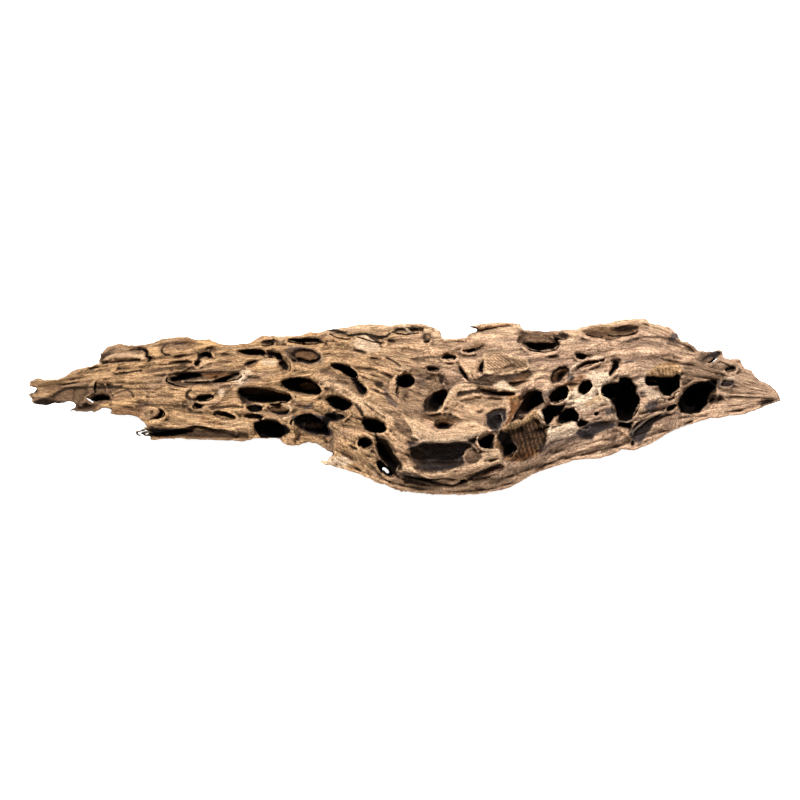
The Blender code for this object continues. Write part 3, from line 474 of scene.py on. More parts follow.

# Here too black, pitch, umber, shade, slate and charcoal tints paint shade and shadow, and the
# pale ones also paint highlights
SHOULDER_MARKS = (
    Patch(((237.5, 350.8), (246.3, 349.6), (255, 349), (261.9, 349.8), (265.6, 351.9),
           (266.3, 354.6), (263.8, 356.3), (258.8, 355.8), (252.5, 356.2), (245, 355.2),
           (240, 353.2)), 7, T.BLACK, 0.97, 1.4),
    Patch(((266, 353), (272, 352.6), (279.4, 353.1), (281.6, 356.3), (284, 361), (288.4, 366.3),
           (287.5, 370.4), (283.8, 371.3), (279.6, 366.6), (278.4, 362.4), (276.3, 358.6),
           (271.3, 357.6), (266.5, 355.8)), 6, T.PITCH, 1.0, 1.2),
    Stroke(((280, 358, 1.4), (283, 363, 2.0), (285, 367, 1.6)), 6, T.BLACK, 1.0),
    Stroke(((245.6, 365.4, 1.6), (248, 364.6, 2.2), (251.4, 363.4, 2.0), (257, 360.6, 1.1),
            (263, 358.4, 1.0), (272, 357.8, 0.9)), 5, T.BLACK, 0.96),
    Patch(((254.4, 367), (258.8, 361.6), (263.8, 359.4), (271.3, 358.8), (276.3, 359.6),
           (279.2, 362), (278, 365.8), (273.8, 367.8), (267.5, 368.4), (258.8, 369)),
          -1.4, T.HONEY, 0.95, 1.2),
    Spot(270, 362.6, 6.5, 2.4, 4, -0.7, T.CREAM, 0.75, 0.9),
    Patch(((258.6, 342.4), (264.4, 340.2), (273.8, 338.3), (276.5, 340), (275, 343.8),
           (273.1, 346), (266.3, 345.6), (261.9, 344)), 6, T.PITCH, 0.97, 1.2),
    Spot(281, 339.6, 3.2, 3.6, 0, -1.0, T.STRAW, 0.6, 0.9),
    Patch(((286.3, 338.8), (292.5, 337.4), (300, 338.6), (310, 338.6), (317.5, 339.2),
           (323.1, 340.8), (326.6, 343.8), (320, 343.7), (315, 342.7), (310, 343.3),
           (305, 343.6), (301.3, 343.8), (297.5, 343.5), (292.5, 342.3), (287.5, 341.3)),
          7, T.BLACK, 0.98, 1.0),
    Spot(303, 343.6, 1.3, 0.5, 0, 50, T.BLACK, 1.0, 0.6),
    Spot(304.5, 355.4, 17.6, 7.8, 12, 1.2, T.SLATE, 0.9, 0.35),
    Spot(289.6, 352.6, 4.6, 3.6, 30, 0.0, T.UMBER, 0.7, 0.9),
    Spot(305.6, 355.4, 12.4, 4.9, 12, 2.6, T.BROWN, 0.95, 0.3),
    Stroke(((293, 355, 1.6), (295, 358.8, 1.7), (302.6, 361.6, 2.1), (311, 363, 2.3),
            (317, 361, 1.9), (320, 357, 0.9)), 5, T.BLACK, 0.97),
    Stroke(((293, 355, 1.3), (296, 351.4, 1.1), (304, 350, 0.9), (313, 351.6, 0.9),
            (319.4, 356, 0.8)), 3, T.PITCH, 0.92),
    Patch(((333, 378), (342, 376), (352, 380), (362, 386), (367, 392), (360, 396),
           (350, 392), (340, 386), (334, 383)), 1.6, T.SHADE, 0.55, 4),
    Stroke(((322, 371.4, 2.2), (328, 373, 2.4), (336, 376.4, 1.4), (348, 380, 1.2)),
           1.2, T.SHADE, 0.85, 1.0),
    Patch(((281, 382.6), (283.8, 380), (290, 378), (300, 377.6), (307.5, 378.8), (315, 382.3),
           (319.6, 386.3), (321.3, 391.3), (319.4, 395.2), (315, 395.8), (307.5, 395.2),
           (300, 393.6), (293.8, 392.4), (287.5, 390.2), (283.5, 387.5)),
          11, T.BLACK, 1.0, 1.0),
    Patch(((300.6, 385), (306, 382.6), (313, 384), (316.4, 387.6), (312, 389.4), (304, 389)),
          -4.5, T.RUST, 0.9, 1.6),
    Spot(308.6, 386.6, 6.0, 2.2, 14, 0.0, T.BROWN, 0.8, 0.9),
    Patch(((238, 393), (240, 388.6), (247.5, 387.4), (257.5, 387.4), (267.5, 389.8),
           (280, 393), (290, 394.8), (294, 398.1), (293.1, 401.5), (286.3, 402.7),
           (277.5, 403.1), (267.5, 404), (261.3, 404.4), (252, 404), (246, 407), (243, 405),
           (240, 398.8)), 6.5, T.UMBER, 1.0, 1.2),
    Patch(((241, 392.6), (256, 393.4), (270, 394), (284, 397), (292.4, 399.6), (286, 401.6),
           (272, 402.6), (258, 402.8), (248, 401), (241, 397)), 10, T.BLACK, 1.0, 2.6),
    Patch(((246, 408.1), (248.8, 405), (255, 404), (261.3, 404.8), (264, 407.5),
           (261.9, 411.5), (256.3, 413.2), (250, 412.5)), 10, T.BLACK, 1.0, 1.0),
    Stroke(((258, 403.6, 0.7), (265, 405.4, 0.8), (267, 409, 0.8), (272, 413.6, 0.7)),
           -1.2, T.TAN, 0.8, 0.8),
    Patch(((267.2, 408.1), (272.5, 405.8), (280, 405.8), (286.3, 407.4), (290.3, 411.3),
           (288.1, 414.6), (282.5, 416.2), (275, 415.1), (269.6, 412.5)),
          4.5, T.BROWN, 0.95, 1.1),
    Patch(((270, 410), (278, 410.6), (288, 410), (289.6, 412.4), (286, 415.2), (279, 415.6),
           (272, 413.4)), 9, T.BLACK, 1.0, 1.6),
    Stroke(((289, 405.4, 1.0), (292.4, 410, 1.3), (290.4, 415.4, 1.2), (284, 418.4, 1.0)),
           -1.0, T.STRAW, 0.8, 0.9),
    Patch(((253, 422.5), (260, 419.9), (270, 420.5), (280, 422.5), (287.5, 425.6),
           (291.5, 430), (290.2, 433.8), (285, 435.8), (281.3, 438.6), (260, 438.6),
           (258, 433.8), (254, 427.5)), 12, T.BLACK, 1.0, 1.0),
    Patch(((289.6, 417.5), (297.5, 415.4), (307.5, 413.8), (317.5, 414.2), (323.8, 415.6),
           (328.8, 412.4), (336.3, 412.2), (342.5, 414.2), (346, 417.5), (342.5, 420.8),
           (336.3, 422.7), (330, 422.7), (328.8, 426.3), (332.7, 430), (333.4, 435),
           (328.8, 438.3), (325, 437.7), (322.5, 435), (316.3, 436.5), (310, 435.2),
           (303.8, 432.5), (298.8, 428.8), (293.6, 423.8)), 6, T.CHARCOAL, 1.0, 1.2),
    Patch(((322, 418), (330, 413.8), (343, 415), (344.6, 418), (338, 421.4), (330, 421.6),
           (327, 427), (331.6, 431), (331, 436.4), (325, 436), (316, 434.6), (306, 431.4),
           (303, 427.4), (312, 428.6), (322, 427)), 11, T.BLACK, 1.0, 2.2),
    Spot(315, 425.2, 7.6, 1.7, -2, -2.5, T.MIDDLE, 0.9, 0.7),
    Patch(((303.6, 408.8), (306, 405.6), (313, 403), (312, 406.6), (308, 409.4)),
          1.6, T.SLATE, 0.95, 1.0),
    Patch(((330.4, 365.6), (335, 363.8), (342.5, 364.6), (350, 366.8), (356.5, 370.6),
           (357.8, 374.4), (356.4, 378.4), (352, 379), (345, 375.2), (338.6, 371.4),
           (333.4, 368.8)), 10, T.BLACK, 1.0, 1.0),
    Patch(((350, 379.2), (356.3, 378.6), (362.5, 385), (367, 390), (366.3, 395.2),
           (362.5, 396.5), (358.6, 393.1), (356, 387.5), (351.6, 382.5)),
          4.5, T.PITCH, 1.0, 2.2),
    Patch(((326, 400.6), (330, 396.1), (336.3, 395.4), (343.8, 398), (350.2, 401.3),
           (352.8, 405), (350, 409), (343.8, 410.5), (336.3, 410.2), (329.8, 406.3)),
          11, T.BLACK, 1.0, 1.0),
    Stroke(((350, 401, 1.2), (356, 405, 1.5), (361, 411, 1.4), (363.5, 417.5, 1.3)),
           2.2, T.UMBER, 0.92, 0.8),
    Patch(((352, 396), (362, 398), (376, 406), (390, 415), (398, 420), (390, 420), (376, 412),
           (362, 404)), -1.0, T.STRAW, 0.6, 3),
    Stroke(((365, 404, 0.7), (375, 411, 0.8), (385, 417.6, 0.7)), 1.2, T.UMBER, 0.8),
    Patch(((316, 376), (330, 378), (346, 388), (360, 400), (366, 410), (356, 404),
           (340, 394), (324, 386)), -1.6, T.STRAW, 0.6, 4),
    Patch(((362.3, 423.8), (364.4, 419.2), (368.8, 418), (376.3, 419.8), (383.8, 423.6),
           (386.4, 428.8), (384.4, 432.7), (378.8, 433.7), (375.6, 431.5), (371.3, 433.3),
           (364.8, 430)), 10, T.BLACK, 1.0, 1.0),
    Stroke(((375, 431, 1.6), (376, 436, 1.4), (378, 440, 2.0)), 7, T.BLACK, 1.0),
    Patch(((356.6, 442.5), (360, 438), (366.3, 436.7), (371.5, 440), (372.7, 443.8),
           (370, 447.7), (363.8, 449), (358.6, 446.4)), 8, T.PITCH, 1.0, 1.2),
    Stroke(((350.6, 445.6, 0.9), (353.4, 448, 1.2), (357, 448.6, 1.0)), 2, T.PITCH, 0.9),
    Patch(((327.3, 330), (332.5, 328.6), (340, 329.8), (346.3, 332.3), (348.3, 335.8),
           (340, 335.2), (331.3, 332.7)), 4.5, T.PITCH, 0.97, 1.2),
    Patch(((354, 341), (360, 335.6), (368, 335), (374, 338), (377.6, 344), (379, 348),
           (368, 351), (356, 349)), -2.0, T.CREAM, 0.55, 4),
    Stroke(((348.4, 335.6, 1.0), (356.3, 334.4, 1.0), (365, 333.8, 1.1), (371.3, 335.4, 1.6),
            (378.8, 337.6, 1.7), (386.3, 336.6, 0.9), (390, 333.4, 0.8)), 2.8, T.BLACK, 0.92),
    Stroke(((370, 336.4, 1.2), (376, 339.6, 1.8), (379.4, 343, 1.4), (381.4, 347, 0.8)),
           2.0, T.UMBER, 0.9),
    Patch(((389, 334.2), (392.2, 331), (397.8, 327.6), (404.4, 327.4), (413.3, 326),
           (420, 328.1), (424.6, 331), (422.2, 332.6), (415.6, 332), (412.2, 334.6),
           (406.7, 333), (401, 331.6), (396.7, 333.4)), 3.4, T.UMBER, 0.95, 1.0),
    Patch(((412.5, 327), (419, 328.2), (424, 331), (420, 332), (414, 330.6)),
          5, T.BLACK, 0.95, 1.0),
    Stroke(((403.8, 327.6, 0.8), (408, 330.4, 0.9), (412.2, 334.2, 0.7)), -2.0, T.CREAM, 1.0, 0.7),
    Spot(427.4, 337.4, 4.4, 4.6, 0, 2.6, T.UMBER, 0.92, 0.5),
    Spot(428, 336.6, 1.8, 1.8, 0, -1.0, T.MIDDLE, 0.8, 0.8),
    Patch(((373.6, 381.6), (376, 380), (382, 381.6), (384, 386), (381, 388), (376, 385.6)),
          2.2, T.PITCH, 0.9, 1.4),
    Stroke(((386.7, 357.8, 0.7), (393, 361, 0.9), (400, 365.6, 0.9)), 1.4, T.PITCH, 0.88),
    Stroke(((416.7, 357.2, 0.7), (427.8, 357.8, 0.7)), 1.2, T.UMBER, 0.85),
    Patch(((386, 385), (400, 390), (414, 390), (426, 384), (436, 386), (434, 398), (424, 413),
           (412, 414), (398, 408), (388, 399)), 1.4, T.SHADE, 0.5, 6),
    Stroke(((384.6, 389, 1.4), (387, 396, 1.9), (391, 402, 2.0), (395.6, 406, 1.4)),
           1.0, T.SLATE, 0.75, 1.0),
    Spot(421, 380, 5.5, 4.6, 40, 0.6, T.SLATE, 0.6, 1.0),
    Patch(((395, 378.8), (397.5, 375.4), (403.8, 374), (410, 375), (414, 378.8),
           (414.4, 383.8), (411.3, 387.7), (405, 388.6), (398.8, 387), (394, 385),
           (396, 381.9)), 12, T.BLACK, 1.0, 1.0),
    Patch(((391, 414), (402, 416), (412, 424), (414, 434), (408, 438), (400, 430),
           (394, 422)), 1.2, T.SHADE, 0.6, 3),
    Spot(398, 427, 5, 3, 40, 1.6, T.UMBER, 0.7, 0.8),
    Spot(406, 430.6, 3.4, 2.4, 20, 1.0, T.UMBER, 0.7, 0.8),
    Patch(((380, 438), (387, 440), (393.6, 453.3), (401.3, 463.3), (402.4, 470.4),
           (394.4, 476), (386, 466), (380, 459), (377, 448)), 6, T.UMBER, 1.0, 1.4),
    Patch(((377, 440), (384, 444), (391, 455), (398, 465), (398, 472), (390, 470), (382, 460),
           (377, 450)), 11, T.BLACK, 1.0, 2.0),
    Patch(((376, 462), (381, 459), (387, 465), (394, 474), (390, 478), (380, 472.6)),
          9, T.BLACK, 0.97, 1.6),
    Spot(385.2, 470, 4.4, 1.9, 48, 50, T.BLACK, 1.0, 0.3),
    Patch(((396.7, 469), (402, 466.4), (407.8, 464.4), (412, 467.4), (417.8, 472.2),
           (408, 471.6), (400, 470.8)), -1.4, T.STRAW, 0.95, 1.0),
    Patch(((315, 462.4), (330, 458), (345, 456), (352, 462), (345, 466), (330, 464.6)),
          -0.6, T.CREAM, 0.75, 2.4),
    Stroke(((321, 443, 1.0), (328, 447, 1.5), (332.6, 453, 1.2)), 1.4, T.SHADE, 0.8, 0.8),
)

# Here too black, pitch, umber, shade, slate and charcoal tints paint shade and shadow, and the
# pale ones also paint highlights
BOWL_MARKS = (
    Patch(((418, 374), (430, 371), (444, 373), (458, 376), (462, 384), (450, 388), (436, 389),
           (424, 384)), 0.6, T.SHADE, 0.5, 4),
    Patch(((425.4, 366.7), (433.3, 364.2), (440.8, 367.2), (440, 370.8), (433.3, 372.4),
           (426.5, 370.8)), 2.4, T.SHADE, 0.95, 1.0),
    Patch(((427, 368.6), (434, 367.8), (440, 368.6), (439, 371), (433, 372.2), (428, 371)),
          5, T.PITCH, 1.0, 1.0),
    Spot(449.6, 353, 6.6, 2.6, 4, 0.8, T.BROWN, 0.75, 0.9),
    Patch(((441, 356.7), (448.9, 354.6), (457.8, 357.8), (455.6, 359.6), (446.7, 360),
           (441.1, 359.2)), 6, T.BLACK, 1.0, 1.0),
    Spot(477, 345.6, 7, 3.4, -20, 0.8, T.BROWN, 0.75, 0.9),
    Patch(((462, 351.1), (471.1, 349.3), (480, 346.7), (484.4, 344.4), (480, 350),
           (475.6, 352.9), (466.7, 353.5)), 4, T.PITCH, 0.95, 1.2),
    Spot(471, 333.3, 4.8, 1.3, -12, 1.0, T.UMBER, 0.85, 0.7),
    Patch(((439, 376), (442.6, 375.4), (443.6, 380), (442, 385), (439.4, 383)),
          2.4, T.PITCH, 0.9, 1.2),
    Patch(((424, 402.2), (427.6, 396.7), (433.3, 392), (442.2, 389.6), (451.1, 388.2),
           (448.9, 393.3), (445.6, 400), (442.2, 406.7), (437.8, 413.5), (426.7, 413.5),
           (423, 412.2)), 6, T.UMBER, 1.0, 2.2),
    Patch(((428, 399.6), (434, 396), (444, 392), (449.6, 390.4), (446, 398), (441.6, 405),
           (438, 411), (432, 409), (427.6, 405)), 10, T.BLACK, 1.0, 2.6),
    Patch(((437.8, 413.5), (444.4, 402.2), (448.9, 393.3), (455.6, 386.5), (464.4, 383.1),
           (473.3, 383.7), (480, 386.5), (491.1, 386.7), (497.8, 382.2), (503.3, 380),
           (508.9, 383.3), (515.6, 390), (514.4, 392.2), (502.2, 391), (486.7, 388.7),
           (477.8, 387.6), (472.2, 389.2), (462.2, 391), (456.7, 393.2), (450, 399),
           (445.6, 404.6), (440.5, 413.5)), -2.4, T.STRAW, 0.9, 1.2),
    Patch(((494.4, 384.4), (503.3, 380.2), (515, 390.2), (505, 388.6), (496, 387.6)),
          -1.0, T.CREAM, 0.8, 1.2),
    Patch(((446, 408), (449, 400), (456.7, 393.6), (466, 392), (480, 392), (500, 396.4),
           (509, 396), (508.4, 402.2), (511, 407.8), (500, 408.9), (491.1, 410.4),
           (485.6, 414.4), (484.6, 420), (474.4, 420.4), (464.4, 419), (452, 413)),
          1.4, T.TAN, 0.75, 2.6),
    Spot(480, 400, 18, 4.5, 4, 0.4, T.STRAW, 0.5, 1.0),
    # Painted shadow under the bowl's rim
    Patch(((456.7, 393.3), (464.4, 390.8), (472.2, 390), (480, 388.9), (486.7, 390.8),
           (500, 392.6), (512, 393), (508.9, 395.8), (497.8, 396.9), (488.9, 395.8),
           (483.3, 393.6), (473.3, 392.6), (462.2, 396), (457.4, 397)),
          3.0, T.UMBER, 0.95, 1.4),
    Stroke(((484, 391.4, 1.2), (492, 393.6, 1.7), (500, 394.4, 1.6), (509, 394.2, 0.9)),
           3.6, T.BLACK, 0.92, 0.8),
    Patch(((420, 414.4), (440, 413.8), (451.1, 416.7), (462.2, 420), (451.1, 423.3),
           (437.8, 420.4), (424.4, 420)), 1.4, T.BROWN, 0.8, 1.8),
    Patch(((424, 414.6), (440, 413.8), (456, 418.6), (448, 421.4), (430, 419.6)),
          1.0, T.UMBER, 0.6, 1.0, (8, 3.2)),
    Patch(((434.4, 421), (442.2, 418.7), (453.3, 419.8), (454, 425.6), (448.9, 429.6),
           (437.8, 429.6), (434.2, 426.7)), 5.5, T.BROWN, 0.97, 1.2),
    Stroke(((435.4, 425, 1.2), (439, 428.2, 1.5), (447, 428.4, 1.4), (452, 425, 1.0)),
           6.5, T.PITCH, 0.9, 0.8),
    Stroke(((437, 420.6, 0.8), (444, 420, 1.0), (451.6, 421, 0.8)), 5, T.UMBER, 0.8),
    Patch(((406.7, 416.7), (416.7, 420), (428.9, 427.4), (435.6, 430.6), (451.1, 430.4),
           (457.8, 424), (464.4, 421), (474.4, 421), (485.6, 427), (486.1, 432.2),
           (477.8, 436.7), (464.4, 440), (446.7, 441.7), (433.3, 442.6), (422.2, 441.4),
           (413.3, 436.7), (411.1, 428.9), (405.6, 420)), -2.6, T.STRAW, 0.85, 1.6),
    Stroke(((414, 437.6, 0.9), (424, 440.4, 1.1), (440, 440.6, 1.1), (460, 438.8, 1.1),
            (478, 434.6, 0.9)), -0.6, T.CREAM, 0.7, 0.9),
    Spot(466, 426, 7, 3.4, 20, 0.5, T.MIDDLE, 0.6, 0.9),
    # Dark stain and painted shade on the face under the bowl's front lip
    Patch(((406.7, 440), (416.7, 442.4), (430, 443.5), (448.9, 442.4), (466.7, 440.2),
           (477.8, 437.4), (478.9, 440), (474.4, 445.6), (466.7, 450.4), (462.2, 456.7),
           (464.4, 463.3), (460, 466.9), (448.9, 470.4), (435.6, 472.4), (424.4, 472.4),
           (416.7, 469), (412.2, 460), (410, 451.1)), 3.4, T.CHARCOAL, 0.97, 1.5),
    Patch(((412, 443), (430, 444), (450, 443), (472, 440), (472, 444), (450, 447),
           (428, 448), (413, 447)), 1.2, T.PITCH, 0.6, 3.0),
    Spot(417, 456, 5, 9, -10, 0.0, T.SHADE, 0.55, 1.0),
    Spot(452, 464, 9, 4, -20, 0.0, T.PITCH, 0.4, 1.0),
    Patch(((466.7, 451.3), (474.4, 445.8), (481.1, 453.3), (482.2, 457.8), (475.6, 463.3),
           (466.7, 463.4), (463.3, 457.8)), 1.6, T.SHADE, 0.9, 1.2),
    Patch(((481.1, 450), (486.7, 449.4), (500, 447.8), (501.7, 453.3), (501.7, 460),
           (491.1, 461.4), (480, 464.6), (475.6, 463.6), (482, 457.8)),
          -1.0, T.STRAW, 0.85, 1.1),
    Patch(((394.4, 470.4), (402.2, 471), (417.8, 473.2), (433.3, 480), (442.2, 483.3),
           (452.2, 484.4), (466.7, 478.9), (480, 469.4), (501, 462.6), (500.4, 467.8),
           (486.7, 474.4), (480, 476.9), (464.4, 483.5), (452.2, 486.3), (440, 485.8),
           (430, 484.6), (418.9, 485.8), (404.4, 484.6), (401, 478)),
          3.4, T.UMBER, 0.92, 1.5),
    Stroke(((404, 474, 1.6), (414, 477, 3.0), (426, 480.4, 2.2), (438, 484, 1.2)),
           4, T.PITCH, 0.75, 1.0),
    Stroke(((470, 476.6, 1.2), (482, 471, 2.0), (494, 467.2, 2.0), (500.6, 465, 1.0)),
           4, T.CHARCOAL, 0.9, 0.9),
    Patch(((424, 472.8), (440, 473.4), (455, 471.8), (470, 468), (486, 464.6), (500, 460.6),
           (500, 462.6), (480, 468.8), (466, 477.6), (452, 482.6), (442, 481), (432, 476.8)),
          -1.0, T.MIDDLE, 0.9, 1.4),
    Patch(((430, 475.6), (445, 476.6), (462, 473.8), (478, 468), (466, 476), (452, 481),
           (442, 480)), 0.8, T.UMBER, 0.6, 1.0, (-10, 3.4)),
    Stroke(((424, 472.6, 0.8), (434, 474, 0.9), (447, 472.2, 1.0), (460, 467.8, 1.1),
            (478, 464.2, 1.1), (500, 460, 1.0)), -1.0, T.STRAW, 0.8, 0.8),
    Patch(((380, 476), (395, 483), (412, 488), (440, 490), (470, 487), (500, 477), (530, 467),
           (560, 458), (575, 456), (560, 464), (530, 474), (505, 485), (480, 491), (450, 493.6),
           (415, 491.6), (390, 486)), 0.0, T.MIDDLE, 0.5, 4),
    Patch(((390, 484), (412, 488.6), (440, 490.4), (470, 487.4), (500, 478), (530, 468),
           (520, 477), (495, 488), (465, 493), (430, 493), (400, 490)),
          0.8, T.SHADE, 0.6, 1.2, (-3, 4.4)),
    Patch(((485.6, 414.4), (491.1, 410.6), (500, 408.9), (506.9, 409.6), (505.8, 414.4),
           (505.8, 420), (500, 428.9), (495.6, 434.4), (491.1, 431.3), (486.7, 425.8)),
          5, T.CHARCOAL, 1.0, 1.0),
    Stroke(((488, 416, 1.4), (490, 422, 2.0), (495, 428, 2.2)), 5, T.PITCH, 0.7, 1.0),
    Patch(((477.8, 442.2), (482.2, 437.6), (488.9, 434.2), (494.4, 434.4), (493.5, 442.2),
           (493.5, 449), (484.4, 449.6), (478.7, 446.7)), 10, T.BLACK, 1.0, 1.0),
    Patch(((508.6, 396), (521.1, 395.8), (522.4, 400), (518, 405.6), (513.5, 413.3),
           (511, 420), (504.4, 426), (508.6, 416.7), (510.6, 407.8)),
          2.6, T.RUST, 0.95, 1.2),
    Spot(515, 399.4, 5, 2.6, 0, 0.0, T.HONEY, 0.6, 0.9),
    Patch(((522.2, 396.7), (527.8, 392), (535.6, 389.8), (541.3, 392), (543.5, 396.7),
           (544.6, 402.4), (537.8, 407), (533.3, 410.2), (527.8, 414.6), (521.1, 418),
           (513.3, 421.3), (510, 423.5), (514.4, 414.4), (520, 405.6), (522.6, 400)),
          7, T.UMBER, 1.0, 1.2),
    Patch(((530, 394), (537, 390.6), (542, 393), (544, 401), (537, 406), (531, 407),
           (528, 401)), 11, T.BLACK, 1.0, 2.2),
    Patch(((494.6, 442.2), (502.2, 429.4), (513.3, 427.8), (524.4, 422.2), (534.4, 413.3),
           (540, 420), (544.4, 426.7), (546.7, 432.2), (544.6, 440), (543.4, 445.6),
           (540, 451.3), (530, 455.8), (522.2, 460), (507.8, 461.1), (503.3, 457.8),
           (502, 449), (494.6, 448)), 2.0, T.BROWN, 0.97, 1.2),
    Spot(524, 454, 13, 4.4, -14, 0.0, T.RUST, 0.75, 0.9),
    Patch(((506, 430), (514, 428.6), (526, 422.6), (536, 415), (544, 427), (545, 440),
           (541, 450), (528, 456), (512, 458), (506, 450)), 2.6, T.PITCH, 0.85, 1.1, (74, 4.3)),
    Patch(((508, 434), (530, 424), (541, 430), (540, 446), (524, 452), (510, 452)),
          2.2, T.UMBER, 0.8, 1.0, (112, 3.3)),
    Patch(((495.6, 438), (500, 431), (508.9, 433.3), (513.3, 441.1), (515.6, 450),
           (508.9, 455.8), (503.3, 456.9), (502, 448)), 4.6, T.BLACK, 0.95, 2.6),
    Stroke(((541, 428, 1.0), (545, 436, 1.5), (544, 444, 1.4), (540, 451, 0.9)),
           3.4, T.PITCH, 0.95, 0.8),
    Stroke(((494, 435, 0.6), (493.2, 442, 0.7), (493.6, 449, 0.6)), -3.0, T.MIDDLE, 0.9, 0.6),
    Patch(((503.3, 427.6), (512, 422.4), (523.3, 419), (534.4, 409), (540, 412), (536, 416),
           (525, 424), (514, 428.4)), -1.6, T.HONEY, 0.9, 1.1),
    Patch(((504, 427), (514, 423), (525, 419.6), (536, 411), (538, 414), (526, 423),
           (514, 428)), 1.0, T.UMBER, 0.6, 0.9, (72, 3.0)),
    Stroke(((538.6, 411.6, 1.2), (544.4, 419.4, 1.3), (550, 426.8, 1.4), (548, 433, 1.0)),
           -1.4, T.CREAM, 0.9, 0.8),
    Patch(((470, 334), (500, 333), (512, 338), (518, 344), (520, 352), (505, 350), (486, 344)),
          -0.3, T.STRAW, 0.3, 5),
    # Painted shadow beneath the cut facet
    Patch(((483.3, 374.4), (502.2, 375.2), (518.9, 372.8), (528.9, 369.4), (533.9, 373.3),
           (533.3, 375.8), (527.8, 382.4), (517.8, 386.7), (512.2, 386.7), (503.3, 380.4),
           (495.6, 382.4), (491.1, 386.3), (480, 385.4), (468.9, 381.7), (467.8, 380),
           (477.8, 377.8)), 3.0, T.UMBER, 0.88, 1.6),
    Spot(519, 379.6, 9, 3, -30, 0.0, T.BROWN, 0.65, 0.9),
    Stroke(((463, 383, 0.9), (472, 383.4, 1.4), (482, 384.8, 1.8), (491, 385.2, 1.5)),
           4.5, T.BLACK, 0.95, 0.7),
    Patch(((483.3, 353.4), (495.6, 351.6), (502.2, 351), (513.3, 356.5), (526.7, 360),
           (529.1, 364.4), (527.8, 369.1), (518.9, 372.4), (502.2, 374.6), (490, 375.2),
           (483.3, 371.1), (482.2, 368.9), (483.9, 358.9)), -1.8, T.STRAW, 0.97, 1.0),
    Patch(((486, 356), (500, 353), (512, 358), (526, 361), (526, 367), (512, 371), (498, 372.6),
           (486, 369)), 1.4, T.BROWN, 0.8, 0.8, (36, 2.3)),
    Patch(((500, 356), (512, 358.4), (526, 361), (527, 367), (518, 368), (508, 364)),
          1.4, T.UMBER, 0.75, 0.8, (40, 3.6)),
    Patch(((483.9, 358.3), (484, 364.4), (482.6, 370), (483.6, 374.4), (478.9, 372.6),
           (478, 367.8), (480, 362.2)), 3.4, T.PITCH, 0.9, 1.4),
    Patch(((459.4, 362.2), (468.9, 365.6), (477.8, 363.3), (483, 358.3), (480, 364.4),
           (477.8, 370), (477.8, 375.6), (469.4, 378.6), (464.6, 372.2)),
          -1.2, T.TAN, 0.8, 1.2),
    Patch(((458.2, 364.4), (461.1, 366.7), (464.4, 372.2), (469, 379), (466.7, 381.3),
           (462, 375.8), (458.7, 371.3)), 5, T.BLACK, 0.97, 1.0),
    Patch(((533.3, 375.6), (540, 368), (546, 364), (544, 370), (534, 380), (521, 388.6),
           (520, 386.4)), -1.0, T.STRAW, 0.7, 1.8),
    Stroke(((469.4, 327, 0.8), (474, 327, 1.0), (477.8, 329.4, 1.1), (477.4, 331.4, 0.8)),
           0.4, T.UMBER, 0.9),
)
